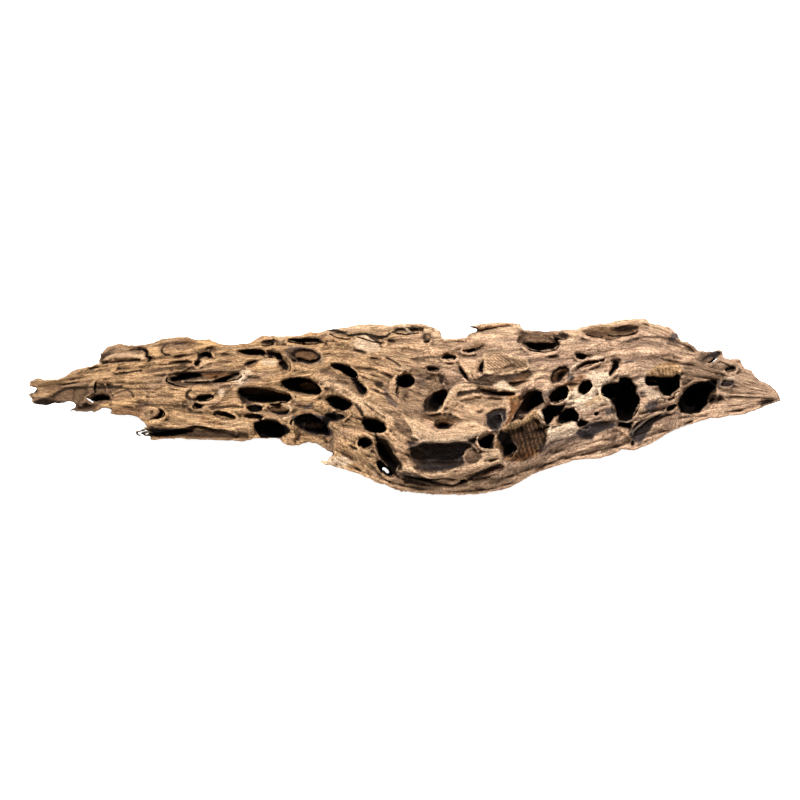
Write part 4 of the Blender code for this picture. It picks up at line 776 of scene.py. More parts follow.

# Here too black, pitch, umber, shade, slate and charcoal tints paint shade and shadow, and the
# pale ones also paint highlights
RIGHT_MARKS = (
    Patch(((517, 342), (519, 336), (526, 332), (540, 331), (553, 332), (560, 337), (560, 344),
           (551, 345), (535, 344.6), (522, 343.6)), 3.0, T.SHADE, 0.9, 1.6),
    Spot(523, 334.6, 3.6, 4.4, 20, 0.8, T.UMBER, 0.65, 1.0),
    Spot(540, 337.6, 13, 3.4, 2, 0.0, T.MIDDLE, 0.45, 1.0),
    Patch(((520, 342.2), (535.6, 343.1), (551.1, 343.5), (559.2, 341), (560, 345.6),
           (553.3, 350.2), (540, 352.4), (531.1, 350.4), (524.4, 345.8)),
          7, T.PITCH, 1.0, 1.2),
    Patch(((558, 333.6), (563, 332), (569, 335), (567, 339), (561, 338.6)),
          2.6, T.UMBER, 0.97, 1.4),
    Spot(564, 336, 3.2, 1.4, 10, 3.4, T.PITCH, 0.9, 0.7),
    Patch(((575.3, 353.3), (584, 354), (590.4, 357.3), (583, 359.5), (576, 358.9)),
          5, T.PITCH, 1.0, 1.0),
    Stroke(((568, 371, 0.7), (576, 365, 0.8), (585, 360.2, 0.9), (602, 357.4, 0.8)),
           -1.0, T.CREAM, 0.85, 0.8),
    Patch(((575.6, 369.5), (580, 365.1), (588, 361.8), (594.7, 361.1), (604.3, 358.5),
           (605, 362.2), (596, 363.7), (588, 365), (582.7, 367.5)), 4.5, T.BLACK, 1.0, 1.0),
    Patch(((614, 361.1), (619.5, 361.8), (619, 366.7), (615, 372), (611, 377.3),
           (606.5, 379), (607.6, 373.3), (611.7, 369.3)), 3.6, T.SHADE, 0.97, 1.2),
    Patch(((614, 361.3), (619.3, 362), (618.5, 368), (615, 371), (613, 368)),
          6, T.BLACK, 1.0, 1.2),
    Patch(((625, 360.4), (636, 358.6), (632, 363), (626, 363)), 0.8, T.SLATE, 0.7, 1.4),
    # Pale wood with a painted highlight on its lit face
    Patch(((568, 394.7), (577.3, 386), (590, 373.3), (606.7, 372), (612, 378.7), (604, 385.3),
           (600, 392), (606.7, 398.7), (596, 405.3), (584, 411), (569.3, 405), (565.3, 398.7)),
          -0.9, T.CREAM, 0.9, 2.6),
    Patch(((584, 404), (594, 398), (601, 394), (604, 398), (596, 403), (586, 407)),
          0.0, T.HONEY, 0.75, 2.4),
    Patch(((566, 386), (570, 380), (580, 375), (586, 378), (578, 386), (570, 391)),
          0.3, T.RUST, 0.5, 2.6),
    Patch(((549.6, 378.7), (552.5, 372), (558.7, 367.1), (565.3, 366.3), (569.7, 369.3),
           (568.9, 372), (564.2, 377.5), (558.9, 383), (552.6, 385)), 5, T.PITCH, 1.0, 1.1),
    Spot(560.4, 375, 8.0, 4.2, -34, -3.0, T.BROWN, 0.95, 0.35),
    Spot(563, 371.8, 3.0, 1.2, -20, 0.0, T.RUST, 0.7, 0.8),
    Patch(((569.3, 373.1), (575, 377.3), (571, 381.5), (566.3, 378.7)), 2.0, T.SLATE, 0.92, 1.4),
    Patch(((578.5, 386.7), (582.5, 381.1), (589.3, 380.5), (592.3, 384.7), (589.5, 390.9),
           (582.7, 395.5), (578.5, 393.3)), 9, T.BLACK, 1.0, 1.0),
    Patch(((544, 393), (550, 389), (556, 388), (552, 394), (547, 399)), 1.2, T.SLATE, 0.8, 2.0),
    Patch(((547.6, 397.3), (552, 391.8), (560, 386.3), (567.5, 386.5), (568.3, 390.9),
           (564.9, 399), (557.3, 403), (550.5, 403)), 9, T.BLACK, 1.0, 1.1),
    Patch(((541, 410.7), (548, 405.1), (557.3, 404.5), (564.4, 405.1), (560, 414.7),
           (554.7, 419), (548.3, 425.5), (545.1, 425.5), (543.8, 418.7)),
          10, T.BLACK, 1.0, 1.0),
    Patch(((560, 413.1), (565.3, 408.5), (573.3, 408.5), (579, 414.5), (579, 420.2),
           (573.5, 421.6), (561.3, 425.6), (557.1, 424)), 10, T.BLACK, 1.0, 1.0),
    Patch(((549.8, 425.6), (554, 417), (557.5, 425.6)), -5.0, T.MIDDLE, 0.95, 1.0),
    Patch(((548, 428), (560, 425.6), (573.3, 421.8), (577.5, 428), (577.3, 432), (564, 436.9),
           (549, 441)), -0.6, T.CREAM, 0.85, 1.4),
    Patch(((576, 422.7), (580, 419.1), (588, 422.5), (585.5, 426.9), (578.5, 428.2)),
          4, T.PITCH, 1.0, 1.1),
    Patch(((575.8, 433.3), (578.7, 429.1), (589.3, 422.6), (600, 421), (613.3, 422.4),
           (616.6, 425.3), (606.7, 429.5), (598.7, 432.2), (593.3, 434.9), (592, 439.7),
           (586.7, 439.7), (580, 437.5)), 1.2, T.CHARCOAL, 1.0, 1.2),
    Patch(((588, 424), (600, 421.6), (613, 423), (606, 427), (596, 428.6)),
          0.8, T.PITCH, 0.6, 2.0),
    Patch(((540, 447), (548, 441), (562, 437.6), (576, 434.6), (578, 438), (566, 441),
           (550, 446), (541, 452)), 0.5, T.SLATE, 0.6, 2.2),
    Patch(((592.5, 414.7), (596, 411.1), (601, 411.1), (596.3, 415.5)), 4, T.BLACK, 0.97, 0.9),
    Patch(((604, 409), (613.3, 408.4), (615, 413.3), (606.7, 415.6)), 0.8, T.SLATE, 0.92, 1.6),
    Patch(((600.5, 390.7), (604, 385.8), (610.7, 383), (618.5, 382.5), (619.8, 378.5),
           (625.3, 376.9), (630.9, 378.5), (633.5, 384), (636.2, 386.7), (636.2, 393.3),
           (641, 398.7), (639, 404), (636.2, 410.7), (633.5, 417.5), (632.2, 425.3),
           (631, 431), (625.3, 428.4), (617.3, 427), (619.8, 422.7), (617, 418.7),
           (616.4, 410.7), (614.5, 405.5), (610.5, 401.5), (604, 397.5)),
          14, T.BLACK, 1.0, 1.0),
    Stroke(((618.7, 421, 0.6), (626, 422.4, 0.9), (632.4, 420.2, 0.7)), -9.0, T.CREAM, 0.95, 0.6),
    Stroke(((606, 399, 0.8), (612, 405, 0.8), (615, 412, 0.8), (616.4, 420, 0.7)),
           -0.8, T.CREAM, 0.8, 0.8),
    Patch(((638, 392), (646.7, 390.5), (644, 395), (639.6, 395.6)), 1.0, T.SLATE, 0.85, 1.4),
    Patch(((636, 382), (642, 376), (650, 371), (646, 378), (643, 386), (650, 388), (658, 392),
           (660, 398), (650, 398), (641, 388)), -0.5, T.CREAM, 0.6, 2.4),
    Patch(((644, 406.7), (650.7, 401.1), (657.3, 400.5), (656, 408), (650.7, 414.9),
           (645.1, 410.9)), 0.9, T.SLATE, 0.95, 1.6),
    Patch(((634, 424), (638, 414), (643, 406), (646, 412), (652, 416), (642, 420)),
          -0.4, T.STRAW, 0.6, 2.0),
    Patch(((646.4, 373.3), (654.7, 367.8), (662.7, 363.8), (672, 361.1), (679, 364),
           (681, 370.7), (679, 375), (668, 376.3), (660, 376.3), (653.3, 376.3)),
          -1.0, T.HONEY, 0.92, 1.4),
    Spot(671, 363.4, 5.6, 1.6, -6, 1.0, T.BROWN, 0.9, 0.7),
    Patch(((648, 373), (660, 369), (672, 367), (679, 370), (676, 375), (660, 375.6)),
          0.8, T.BROWN, 0.6, 1.0, (80, 3.4)),
    Patch(((643.8, 380), (646.5, 376), (654.7, 376), (660, 376.7), (673.3, 377.1),
           (680.2, 371.6), (680.4, 386.7), (676, 392.2), (670.7, 396.3), (664, 396.9),
           (659.8, 392), (658.5, 386.9), (652, 386.2), (646.5, 384.9)),
          12, T.BLACK, 1.0, 1.0),
    Stroke(((647, 382.4, 0.8), (652, 380.4, 0.9), (656, 381.4, 0.8)), -8, T.SHADE, 0.9, 0.8),
    Patch(((666, 400.9), (674.9, 395.8), (673.5, 399.5), (668, 401.6)), 5, T.BLACK, 1.0, 0.9),
    Patch(((665.1, 410.9), (668, 406.5), (674.7, 403.8), (677.6, 405.3), (673.3, 410.2),
           (666.7, 412.4)), 7, T.BLACK, 1.0, 1.0),
    Patch(((681, 377), (689, 364), (704, 360.6), (718, 366), (726, 377), (716, 380.4),
           (700, 380), (686, 388)), 0.5, T.SHADE, 0.6, 4),
    Patch(((677.8, 404), (681.1, 394.7), (689.3, 386.3), (700, 381), (709.3, 379.7),
           (716.3, 381.1), (717.6, 388), (712.3, 392.2), (708.3, 397.5), (707, 405.3),
           (700, 413.5), (689.3, 415), (681.1, 413), (679, 408)), 14, T.BLACK, 1.0, 1.0),
    Patch(((706, 398), (713, 394), (720, 394.3), (726, 398.7), (718.7, 401.7), (711, 405)),
          3.0, T.UMBER, 0.92, 2.4),
    Patch(((717, 382.3), (733.3, 379.6), (734.4, 385.5), (726.7, 387), (719.6, 386.2)),
          1.2, T.SLATE, 0.97, 1.6),
    Spot(727, 383.4, 5, 1.8, -8, 0.0, T.CHARCOAL, 0.7, 0.9),
    Patch(((633.3, 426.5), (641.3, 421.1), (653.3, 415.8), (665.5, 413.6), (660, 418.9),
           (653.3, 424.4), (646.7, 435), (640, 442.4), (633.3, 440.2), (630.5, 437.3),
           (629.1, 433.3)), 2.6, T.CHARCOAL, 0.95, 1.6),
    Spot(639, 437, 5.6, 3.6, -44, 0.0, T.SLATE, 0.7, 0.9),
    Stroke(((628, 432, 1.2), (633.3, 428, 1.5), (640, 422.8, 1.5), (647, 418.6, 1.2),
            (655, 415.8, 0.8)), 4.5, T.BLACK, 0.97, 0.7),
    Spot(632, 443.2, 1.5, 2.2, 10, 3, T.BLACK, 0.95, 0.6),
    Patch(((703.3, 359.5), (708, 354.5), (717.3, 350.9), (721.6, 351.6), (720.7, 354.9),
           (716, 357.5), (713.5, 362.9), (711, 361.5), (713, 356.9), (708, 358.2)),
          2.6, T.CHARCOAL, 1.0, 1.0),
    Patch(((723.8, 368.7), (736, 365.8), (736.9, 370), (725.3, 372.2)), 5, T.BLACK, 1.0, 1.0),
    Spot(732, 377.8, 3.6, 1.2, -14, -0.5, T.CREAM, 0.8, 0.8),
    Patch(((759.6, 404.2), (766.7, 399.8), (777.5, 399.1), (772, 404.3), (761.3, 407.5)),
          3.5, T.PITCH, 1.0, 1.2),
    Patch(((581.3, 330.5), (596, 326.6), (614.7, 326.6), (633.3, 323.8), (640.4, 326),
           (637.3, 330.9), (626.7, 334.9), (614.7, 336.3), (609.3, 339.5), (601.3, 337.5),
           (590.7, 337.5), (585.3, 333.5)), 1.6, T.BROWN, 0.85, 1.6),
    Patch(((583, 331.4), (594, 331), (606, 332), (613, 334), (604, 336), (592, 336)),
          0.8, T.UMBER, 0.65, 2.4),
    Patch(((612.6, 330.2), (625.3, 326.5), (637.3, 325.8), (639.7, 329.3), (630.7, 333),
           (618.7, 333.9)), 3.4, T.PITCH, 0.92, 1.8),
    Patch(((669.1, 340.2), (673.1, 333.1), (679.5, 334), (678.9, 337.5), (673.3, 341.6)),
          1.4, T.SLATE, 0.95, 1.2),
    Stroke(((633, 338.6, 0.8), (644, 336.8, 1.0), (660, 336.8, 1.0), (669, 338.2, 0.8)),
           1.0, T.SHADE, 0.85, 0.9),
    Stroke(((685.3, 346.7, 0.9), (692, 348, 1.3), (696, 348.8, 0.8)), 1.2, T.SHADE, 0.85, 0.9),
    Stroke(((606, 339.8, 0.7), (613, 339, 0.9), (620, 337.4, 0.8)), 1.2, T.UMBER, 0.85, 0.9),
    Stroke(((661, 356.6, 0.6), (667, 355.2, 0.8), (674, 354.6, 0.6)), 0.8, T.SHADE, 0.8, 0.9),
    Stroke(((570, 447, 0.6), (590, 443, 0.8), (612, 437, 0.7)), 0.8, T.SHADE, 0.7, 0.9),
    Stroke(((558, 458, 0.6), (580, 452, 0.8), (604, 446, 0.8), (622, 441, 0.6)),
           0.8, T.SHADE, 0.7, 0.9),
    Stroke(((616, 430, 0.8), (624, 434, 0.9), (629, 440, 0.8)), 0.8, T.BROWN, 0.8),
)

# The outline in the photograph, clockwise from the left tip, as column and row
OUTLINE = (
    (27, 386), (29.5, 380.5), (36, 377), (45, 379), (57, 379), (62, 377), (69, 372), (74, 368),
    (82, 367), (90, 365.5), (98, 363), (98.6, 357), (99, 354), (102, 350), (106, 346), (110, 344),
    (120, 343), (135, 344.5), (143, 343.4), (152, 342), (158, 339), (164, 337.5), (173, 336),
    (181, 335.5), (188, 336), (194, 338), (202, 338), (209, 338), (214, 341), (222, 343),
    (230, 344), (240, 343), (250, 342), (254, 339), (258, 337), (262, 334.5), (275, 335),
    (290, 335), (300, 333.5), (308, 331), (320, 331.5), (328, 328), (337, 327), (346, 326),
    (354, 324), (362, 323), (376, 323.6), (390, 324.5), (405, 323.4), (420, 323), (428, 324.6),
    (435, 327), (441, 331), (443, 338), (452, 338), (465, 337), (472, 332), (477, 331),
    (477.4, 329), (474, 328), (469.5, 327.4), (470, 325), (476, 325), (480, 323.6), (488, 322.6),
    (496, 322), (508, 322), (520, 323), (524, 329), (534, 329.6), (545, 330.5), (560, 329),
    (575, 328.5), (583, 326), (590, 324), (600, 322.6), (611, 321.5), (615, 319.5),
    (623, 318.4), (632, 317.5), (645, 317), (651, 322), (660, 323.6), (668, 326), (675, 330),
    (680, 336), (680, 339), (690, 342.5), (695, 346), (700, 350), (710, 351), (721, 349.5),
    (723.6, 353), (726, 357), (734, 358), (742, 359), (745, 367), (753, 370), (756, 375),
    (760, 380), (770, 384), (777, 390), (779.4, 395), (782, 401), (772, 406), (760, 410),
    (752, 412), (745, 415), (731, 417), (724, 418), (718, 420), (710, 419.5), (700, 422),
    (690, 425), (680, 428), (670, 433), (660, 439), (650, 445), (641, 448), (633, 452),
    (628, 450.6), (622, 450), (611, 456), (600, 460), (590, 460), (580, 460.5), (565, 464.6),
    (550, 469), (540, 472), (530, 476), (520, 482), (510, 488), (500, 491), (490, 492.5),
    (478, 494.6), (465, 495.5), (448, 495.4), (430, 494.5), (418, 493.6), (405, 492.5),
    (395, 490), (385, 486), (372, 481), (358, 474), (342, 469.6), (326, 466), (319, 463),
    (312, 462), (320, 459), (328, 458.5), (333, 453.5), (328, 450.6), (323, 447.5), (316, 444),
    (308, 442), (300, 444.6), (292, 446.5), (286, 445), (281, 443), (281, 439), (267, 439.4),
    (253, 439), (245, 442), (238, 442.5), (220, 441.4), (200, 440.4), (180, 440), (168, 441),
    (155, 441), (147, 439.5), (150, 437.5), (143, 436.4), (136, 435.5), (135.4, 433),
    (136, 431), (141, 429.6), (147, 427), (144, 422), (137, 418), (127, 415.5), (116, 415.4),
    (104, 413.5), (108, 412), (112, 411), (110, 409), (105, 408), (99, 409.4), (96, 412.4),
    (92, 414.4), (93.6, 411), (89, 412.6), (78, 412), (66, 412.5), (69, 410), (73, 408.5),
    (75, 405), (70, 402), (60, 403.4), (50, 404.5), (45, 405.4), (40, 405.5), (34, 404.6),
    (30, 401.5), (32, 399), (28.6, 397), (28, 394), (33, 391.6), (37, 388), (32, 388.4),
)

# Lines that the grain follows, as column and row: the top, the middle and the bottom
GRAIN_TOP = (
    (27, 380), (100, 362), (200, 345), (300, 338), (400, 335), (480, 338), (560, 335),
    (640, 325), (700, 345), (781, 385),
)
GRAIN_MIDDLE = (
    (27, 392), (100, 385), (200, 385), (280, 380), (330, 372), (380, 395), (440, 425),
    (480, 430), (530, 415), (600, 395), (660, 385), (720, 385), (781, 395),
)
GRAIN_BOTTOM = (
    (27, 402), (100, 412), (200, 440), (280, 442), (330, 455), (380, 480), (440, 494),
    (500, 490), (560, 466), (620, 452), (680, 428), (740, 416), (781, 403),
)
GRAIN_SPAN = 110.0


def ripple(first: np.ndarray, second: np.ndarray, seed: int) -> np.ndarray:
    """Smooth seeded noise from -1 to 1 over two coordinates, with one wave in two steps.

    Args:
        first: The first coordinate, in waves.
        second: The second coordinate, in waves.
        seed: The number that fixes the noise.

    Returns:
        The noise at each place.
    """
    table = np.random.default_rng(seed).uniform(-1, 1, (127, 127))
    low_first, low_second = np.floor(first).astype(int), np.floor(second).astype(int)
    share_first, share_second = fade(first - low_first), fade(second - low_second)
    upper = table[low_first % 127, low_second % 127] * (1 - share_second)
    upper = upper + table[low_first % 127, (low_second + 1) % 127] * share_second
    lower = table[(low_first + 1) % 127, low_second % 127] * (1 - share_second)
    lower = lower + table[(low_first + 1) % 127, (low_second + 1) % 127] * share_second
    return upper * (1 - share_first) + lower * share_first


def grain_aside(columns: np.ndarray, rows: np.ndarray) -> np.ndarray:
    """How far across the grain a place lies, in pixels, so that it is the same along a fibre.

    Args:
        columns: Columns of the view.
        rows: Rows of the view.

    Returns:
        Distances across the grain, from 0 at the top line.
    """
    top, middle, bottom = (
        np.interp(columns, [p[0] for p in line], [p[1] for p in line])
        for line in (GRAIN_TOP, GRAIN_MIDDLE, GRAIN_BOTTOM)
    )
    above = (rows - top) / np.maximum(middle - top, 8)
    below = 1 + (rows - middle) / np.maximum(bottom - middle, 8)
    return np.where(rows < middle, above, below) * GRAIN_SPAN / 2


def linear(colour: tuple) -> np.ndarray:
    """A colour from 0 to 255 as linear light from 0 to 1."""
    share = np.array(colour[:3], float) / 255
    return np.where(share <= 0.04045, share / 12.92, ((share + 0.055) / 1.055) ** 2.4)


@dataclass
class Body:
    """The closed mesh of the CAD solid."""

    points: np.ndarray
    triangles: np.ndarray
    tree: BVHTree

    @classmethod
    def of(cls, node: bpy.types.Object) -> "Body":
        """Copies a CAD node's triangles and joins them into one closed mesh.

        Args:
            node: The CAD node.

        Returns:
            The closed mesh, with a tree for rays.
        """
        work = bmesh.new()
        work.from_mesh(node.data)
        work.transform(node.matrix_world)
        bmesh.ops.remove_doubles(work, verts=work.verts, dist=1e-6)
        bmesh.ops.triangulate(work, faces=work.faces)
        if work.calc_volume(signed=True) < 0:
            bmesh.ops.reverse_faces(work, faces=work.faces)
        points = np.array([vertex.co for vertex in work.verts])
        triangles = np.array([[vertex.index for vertex in face.verts] for face in work.faces])
        tree = BVHTree.FromBMesh(work)
        work.free()
        log.info("CAD solid: %d points, %d triangles", len(points), len(triangles))
        return cls(points, triangles, tree)


@dataclass
class Sheet:
    """A grid over the photograph's view that holds how the side in view is worked and painted,
    painted shade, shadow and highlights included.
    """

    body: Body
    columns: np.ndarray = field(init=False)
    rows: np.ndarray = field(init=False)
    depth: np.ndarray = field(init=False)
    skin: np.ndarray = field(init=False)
    facing: np.ndarray = field(init=False)
    behind: np.ndarray = field(init=False)
    seen: np.ndarray = field(init=False)
    outside: np.ndarray = field(init=False)
    cut: np.ndarray = field(init=False)
    paint: np.ndarray = field(init=False)
    painted_deep_shadow: np.ndarray = field(init=False)
    open: np.ndarray = field(init=False)

    def __post_init__(self) -> None:
        """Lays out the grid, and looks at the solid through it."""
        step = 1 / CELLS_PER_PIXEL
        self.columns, self.rows = np.meshgrid(
            np.arange(FIRST_COLUMN, LAST_COLUMN + step / 2, step),
            np.arange(FIRST_ROW, LAST_ROW + step / 2, step),
        )
        self.look()
        self.reach_out()
        self.close_up()
        self.cut = np.zeros(self.columns.shape)
        self.open = np.zeros(self.columns.shape)
        self.paint = np.zeros((*self.columns.shape, 4))
        self.painted_deep_shadow = np.zeros(self.columns.shape)

    def look(self) -> None:
        """Finds what each place of the view sees first on the CAD solid, and what lies behind."""
        shape = self.columns.shape
        self.depth = np.full(shape, np.inf)
        self.facing = np.ones(shape)
        self.behind = np.zeros(shape)
        far_back = -0.3
        for row in range(shape[0]):
            up = (ORIGIN_ROW - self.rows[row, 0]) * PIXEL
            y = up * RISE + far_back * LEVEL
            z = up * LEVEL - far_back * RISE
            for column in range(shape[1]):
                x = (self.columns[row, column] - ORIGIN_COLUMN) * PIXEL
                place, normal, _, distance = self.body.tree.ray_cast((x, y, z), INTO)
                if distance is not None:
                    self.depth[row, column] = far_back + distance
                    self.facing[row, column] = -normal.dot(INTO)
                    left = self.body.tree.ray_cast(place + INTO * 2e-4, INTO)[3]
                    self.behind[row, column] = left or 0.0
        self.seen = np.isfinite(self.depth)
        log.info("view: %d of %d cells see the wood", self.seen.sum(), self.seen.size)

    def reach_out(self) -> None:
        """Carries the nearest depths a little outward, and finds how thick the wood surely is."""
        self.depth = least_near(self.depth)
        known = np.isfinite(self.depth)
        for _ in range(REACH_OUT):
            total, count = np.zeros(known.shape), np.zeros(known.shape)
            for turn in NEIGHBOURS:
                near = np.roll(known, turn, (0, 1))
                total += np.where(near, np.roll(self.depth, turn, (0, 1)), 0.0)
                count += near
            fresh = ~known & (count > 0)
            self.depth[fresh] = total[fresh] / count[fresh]
            known |= fresh
        self.depth[~known] = 0.0
        for _ in range(2 * CELLS_PER_PIXEL):
            self.behind = least_near(self.behind)
        self.outside = outside_of(self.columns, self.rows, OUTLINE)
        ragged = ripple(self.rows / 2.3, self.columns / 2.9, 77)
        ragged = 0.7 * ragged + 0.4 * ripple(self.rows / 1.2, self.columns / 1.6, 78)
        self.outside = self.outside + ragged

    def close_up(self) -> None:
        """Finds the skin that lies over the CAD solid's burrows, so that marks can shape them."""
        skin = self.depth.copy()
        for number in range(CLOSING):
            skin = least_near(skin, number % 2 == 1)
        skin = -skin
        for number in range(CLOSING):
            skin = least_near(skin, number % 2 == 1)
        skin = -skin
        smooth = blurred(skin, 9)
        share = fade((self.depth - skin) / 0.002)
        self.skin = self.depth * (1 - share) + np.minimum(smooth, self.depth) * share
        self.facing = np.where(share > 0.3, 0.8, self.facing)

    def wear(self, seed: int) -> None:
        """Cuts the relief that weather leaves: lifted plates, ridges, gouges and fibres.

        Args:
            seed: The number that fixes the relief.
        """
        aside = grain_aside(self.columns, self.rows)
        aside = aside + 3.0 * ripple(self.rows / 22, self.columns / 34, seed)
        aside = aside + 0.8 * ripple(self.rows / 7, self.columns / 11, seed + 9)
        plates = ripple(aside / 3.6, self.columns / 40, seed + 1)
        plates = plates + 0.5 * ripple(aside / 1.9, self.columns / 21, seed + 2)
        ridges = ripple(aside / 2.4, self.columns / 26, seed + 3)
        fibres = ripple(aside / 1.05, self.columns / 11, seed + 4)
        lumps = ripple(self.rows / 9, self.columns / 15, seed + 5)
        gouges = ripple(aside / 2.6, self.columns / 15, seed + 6)
        gouges = fade((gouges + 0.3 * lumps - 0.42) / 0.3)
        turn = aside / 11.0 + 0.5 * ripple(self.rows / 40, self.columns / 60, seed + 7)
        ledge = turn - np.floor(turn)
        ledge = ledge * fade((1 - ledge) / 0.12)
        relief = 0.5 * fade(0.5 + 2.0 * plates) + 0.35 * (1 - np.abs(ridges)) + 0.3 * fibres
        relief = relief + 1.5 * lumps + 1.35 * ledge + 1.1 * gouges
        self.cut += np.clip(relief * 0.001, -0.0012, 0.0055) / np.clip(self.facing, 0.5, 1)

    def mark(self, marks: tuple) -> None:
        """Adds marks in their order: the deepest cut holds, and rises and tints build up.

        Among the tints are painted shade, shadow and highlights, and black and pitch tints also
        paint deep shadow.

        Args:
            marks: The marks, the first one lowest.
        """
        cell = CELLS_PER_PIXEL
        for number, mark in enumerate(marks):
            left, upper, right, lower = mark.window()
            across = slice(
                max(0, int((left - FIRST_COLUMN) * cell)),
                max(0, int((right - FIRST_COLUMN) * cell) + 1),
            )
            down = slice(
                max(0, int((upper - FIRST_ROW) * cell)),
                max(0, int((lower - FIRST_ROW) * cell) + 1),
            )
            columns, rows = self.columns[down, across], self.rows[down, across]
            wobble = 0.7 * ripple(rows / 4.6, columns / 6.3, 900 + number)
            wobble = wobble + 0.6 * ripple(rows / 1.9, columns / 2.6, 1900 + number)
            outside = mark.outside(columns, rows, wobble)
            cover = mark.cover(outside)
            hole = mark.cut > HOLE_CUT
            before = self.cut[down, across]
            if hole:
                before = before + FUNNEL * fade(1 - outside / FUNNEL_WIDTH)
                lower = np.clip(np.gradient(outside, 1 / cell, axis=0), 0, 1)
                slope = mark.soft() + LOWER_WALL * lower
                cover = fade((0.5 * mark.soft() - outside) / slope)
                self.open[down, across] = np.maximum(self.open[down, across], cover)
            if mark.cut > 0:
                self.cut[down, across] = np.maximum(before, mark.cut * 0.001 * cover)
            else:
                self.cut[down, across] = before + mark.cut * 0.001 * cover
            if not hole:
                cover = fade(0.65 - outside / (mark.soft() + mark.tint_edge))
            pale = mark.tint.value[0] > PALE_RED
            share = cover * mark.strength * (PALE_SHARE if pale else 1.0)
            # Black and pitch tints also paint deep shadow: fully in holes, and less along strokes
            painted_deep_shadow = {Tint.BLACK: 1.0, Tint.PITCH: 0.45}.get(mark.tint, 0.0) * mark.darkness
            inner = share
            if hole:
                inner = fade((0.8 - outside) / 3.4) * mark.strength
            self.painted_deep_shadow[down, across] += (painted_deep_shadow - self.painted_deep_shadow[down, across]) * inner
            # Holes take an umber tint at their walls, and the painted deep shadow darkens their
            # middle
            tint = Tint.UMBER if hole and mark.tint is Tint.BLACK else mark.tint
            colour = np.append(linear(tint.value), 1.0)
            self.paint[down, across] += (colour - self.paint[down, across]) * share[..., None]
        log.info("marks: %d", len(marks))

    def calm(self) -> None:
        """Keeps a wall behind each cut, and cuts right through outside of the outline."""
        closed = self.depth - self.skin
        most = np.maximum(self.behind - LEAST_WALL, 0.0) + closed
        most = np.where(self.seen, most, 0.4 * FIN)
        through = (self.cut > 0.03) | (self.outside > 0)
        self.cut = np.maximum(self.cut, closed * fade(2 * self.open - 0.5))
        self.cut = np.where(through, THROUGH, np.minimum(self.cut, most))

    def tone(self) -> np.ndarray:
        """How far each place stands out from the places around it, from -1 to 1.

        The finish paints it as shade in recesses and as highlight on raised places.

        Returns:
            The relief shading of each cell: above zero lighter, below zero darker.
        """
        worked = np.minimum(self.cut, 0.006)
        solid = 1.001 - self.open
        around = blurred(worked * solid, 6) / blurred(solid, 6)
        return np.clip((around - worked) / 0.0012, -1, 1)

    def surface(self) -> np.ndarray:
        """The depth of the worked surface at each cell."""
        return self.skin + self.cut

    def deepest(self) -> np.ndarray:
        """The greatest depth of the worked surface within a few pixels of each cell.

        Returns:
            Depths in metres, and a large one where no wood is seen.
        """
        front = -np.where(self.seen, np.maximum(self.surface(), self.depth), 9.0)
        for number in range(6):
            front = least_near(front, number % 2 == 1)
        return -front

    def away(self, places: np.ndarray, deepest: np.ndarray) -> np.ndarray:
        """How far places lie behind the worked surface, in metres.

        Args:
            places: Places in metres.
            deepest: The depth that each cell is measured from.

        Returns:
            Distances in metres, below zero in front of the surface.
        """
        return depths_of(places[..., 1], places[..., 2]) - deepest[self.cells(places)]

    def cells(self, places: np.ndarray, rim: int = 0) -> tuple:
        """Finds the cells that places are seen at.

        Args:
            places: Places in metres.
            rim: Cells at the edge of the grid that are left out.

        Returns:
            The rows and the columns of the cells.
        """
        columns = (places[..., 0] / PIXEL + ORIGIN_COLUMN - FIRST_COLUMN) * CELLS_PER_PIXEL
        rows = (rows_of(places[..., 1], places[..., 2]) - FIRST_ROW) * CELLS_PER_PIXEL
        last_row, last_column = (count - 1 - rim for count in self.columns.shape)
        rows = np.clip(np.rint(rows).astype(int), rim, last_row)
        columns = np.clip(np.rint(columns).astype(int), rim, last_column)
        return rows, columns


# Turns that bring the cells at each side, and at each corner, over a cell
NEIGHBOURS = ((0, 1), (0, -1), (1, 0), (-1, 0))
CORNERS = ((1, 1), (1, -1), (-1, 1), (-1, -1))


def least_near(values: np.ndarray, corners: bool = False) -> np.ndarray:
    """The least of each cell and its four neighbours, or all eight.

    Args:
        values: The values of the grid.
        corners: Whether the cells at the corners count.

    Returns:
        The least values.
    """
    turns = NEIGHBOURS + CORNERS if corners else NEIGHBOURS
    return np.minimum.reduce([values, *(np.roll(values, turn, (0, 1)) for turn in turns)])


def blurred(values: np.ndarray, most: int) -> np.ndarray:
    """The values averaged with those around them, up to about twice this many cells away.

    Args:
        values: The values of the grid.
        most: The widest step of the blur, in cells.

    Returns:
        The blurred values.
    """
    level = values.copy()
    for turn in range(1, most + 1):
        for axis in range(2):
            level = (np.roll(level, turn, axis) + level + np.roll(level, -turn, axis)) / 3
    return level


def rows_of(y: np.ndarray, z: np.ndarray) -> np.ndarray:
    """The view's rows of places."""
    return ORIGIN_ROW - (y * RISE + z * LEVEL) / PIXEL


def depths_of(y: np.ndarray, z: np.ndarray) -> np.ndarray:
    """How deep into the view places lie, in metres."""
    return y * LEVEL - z * RISE


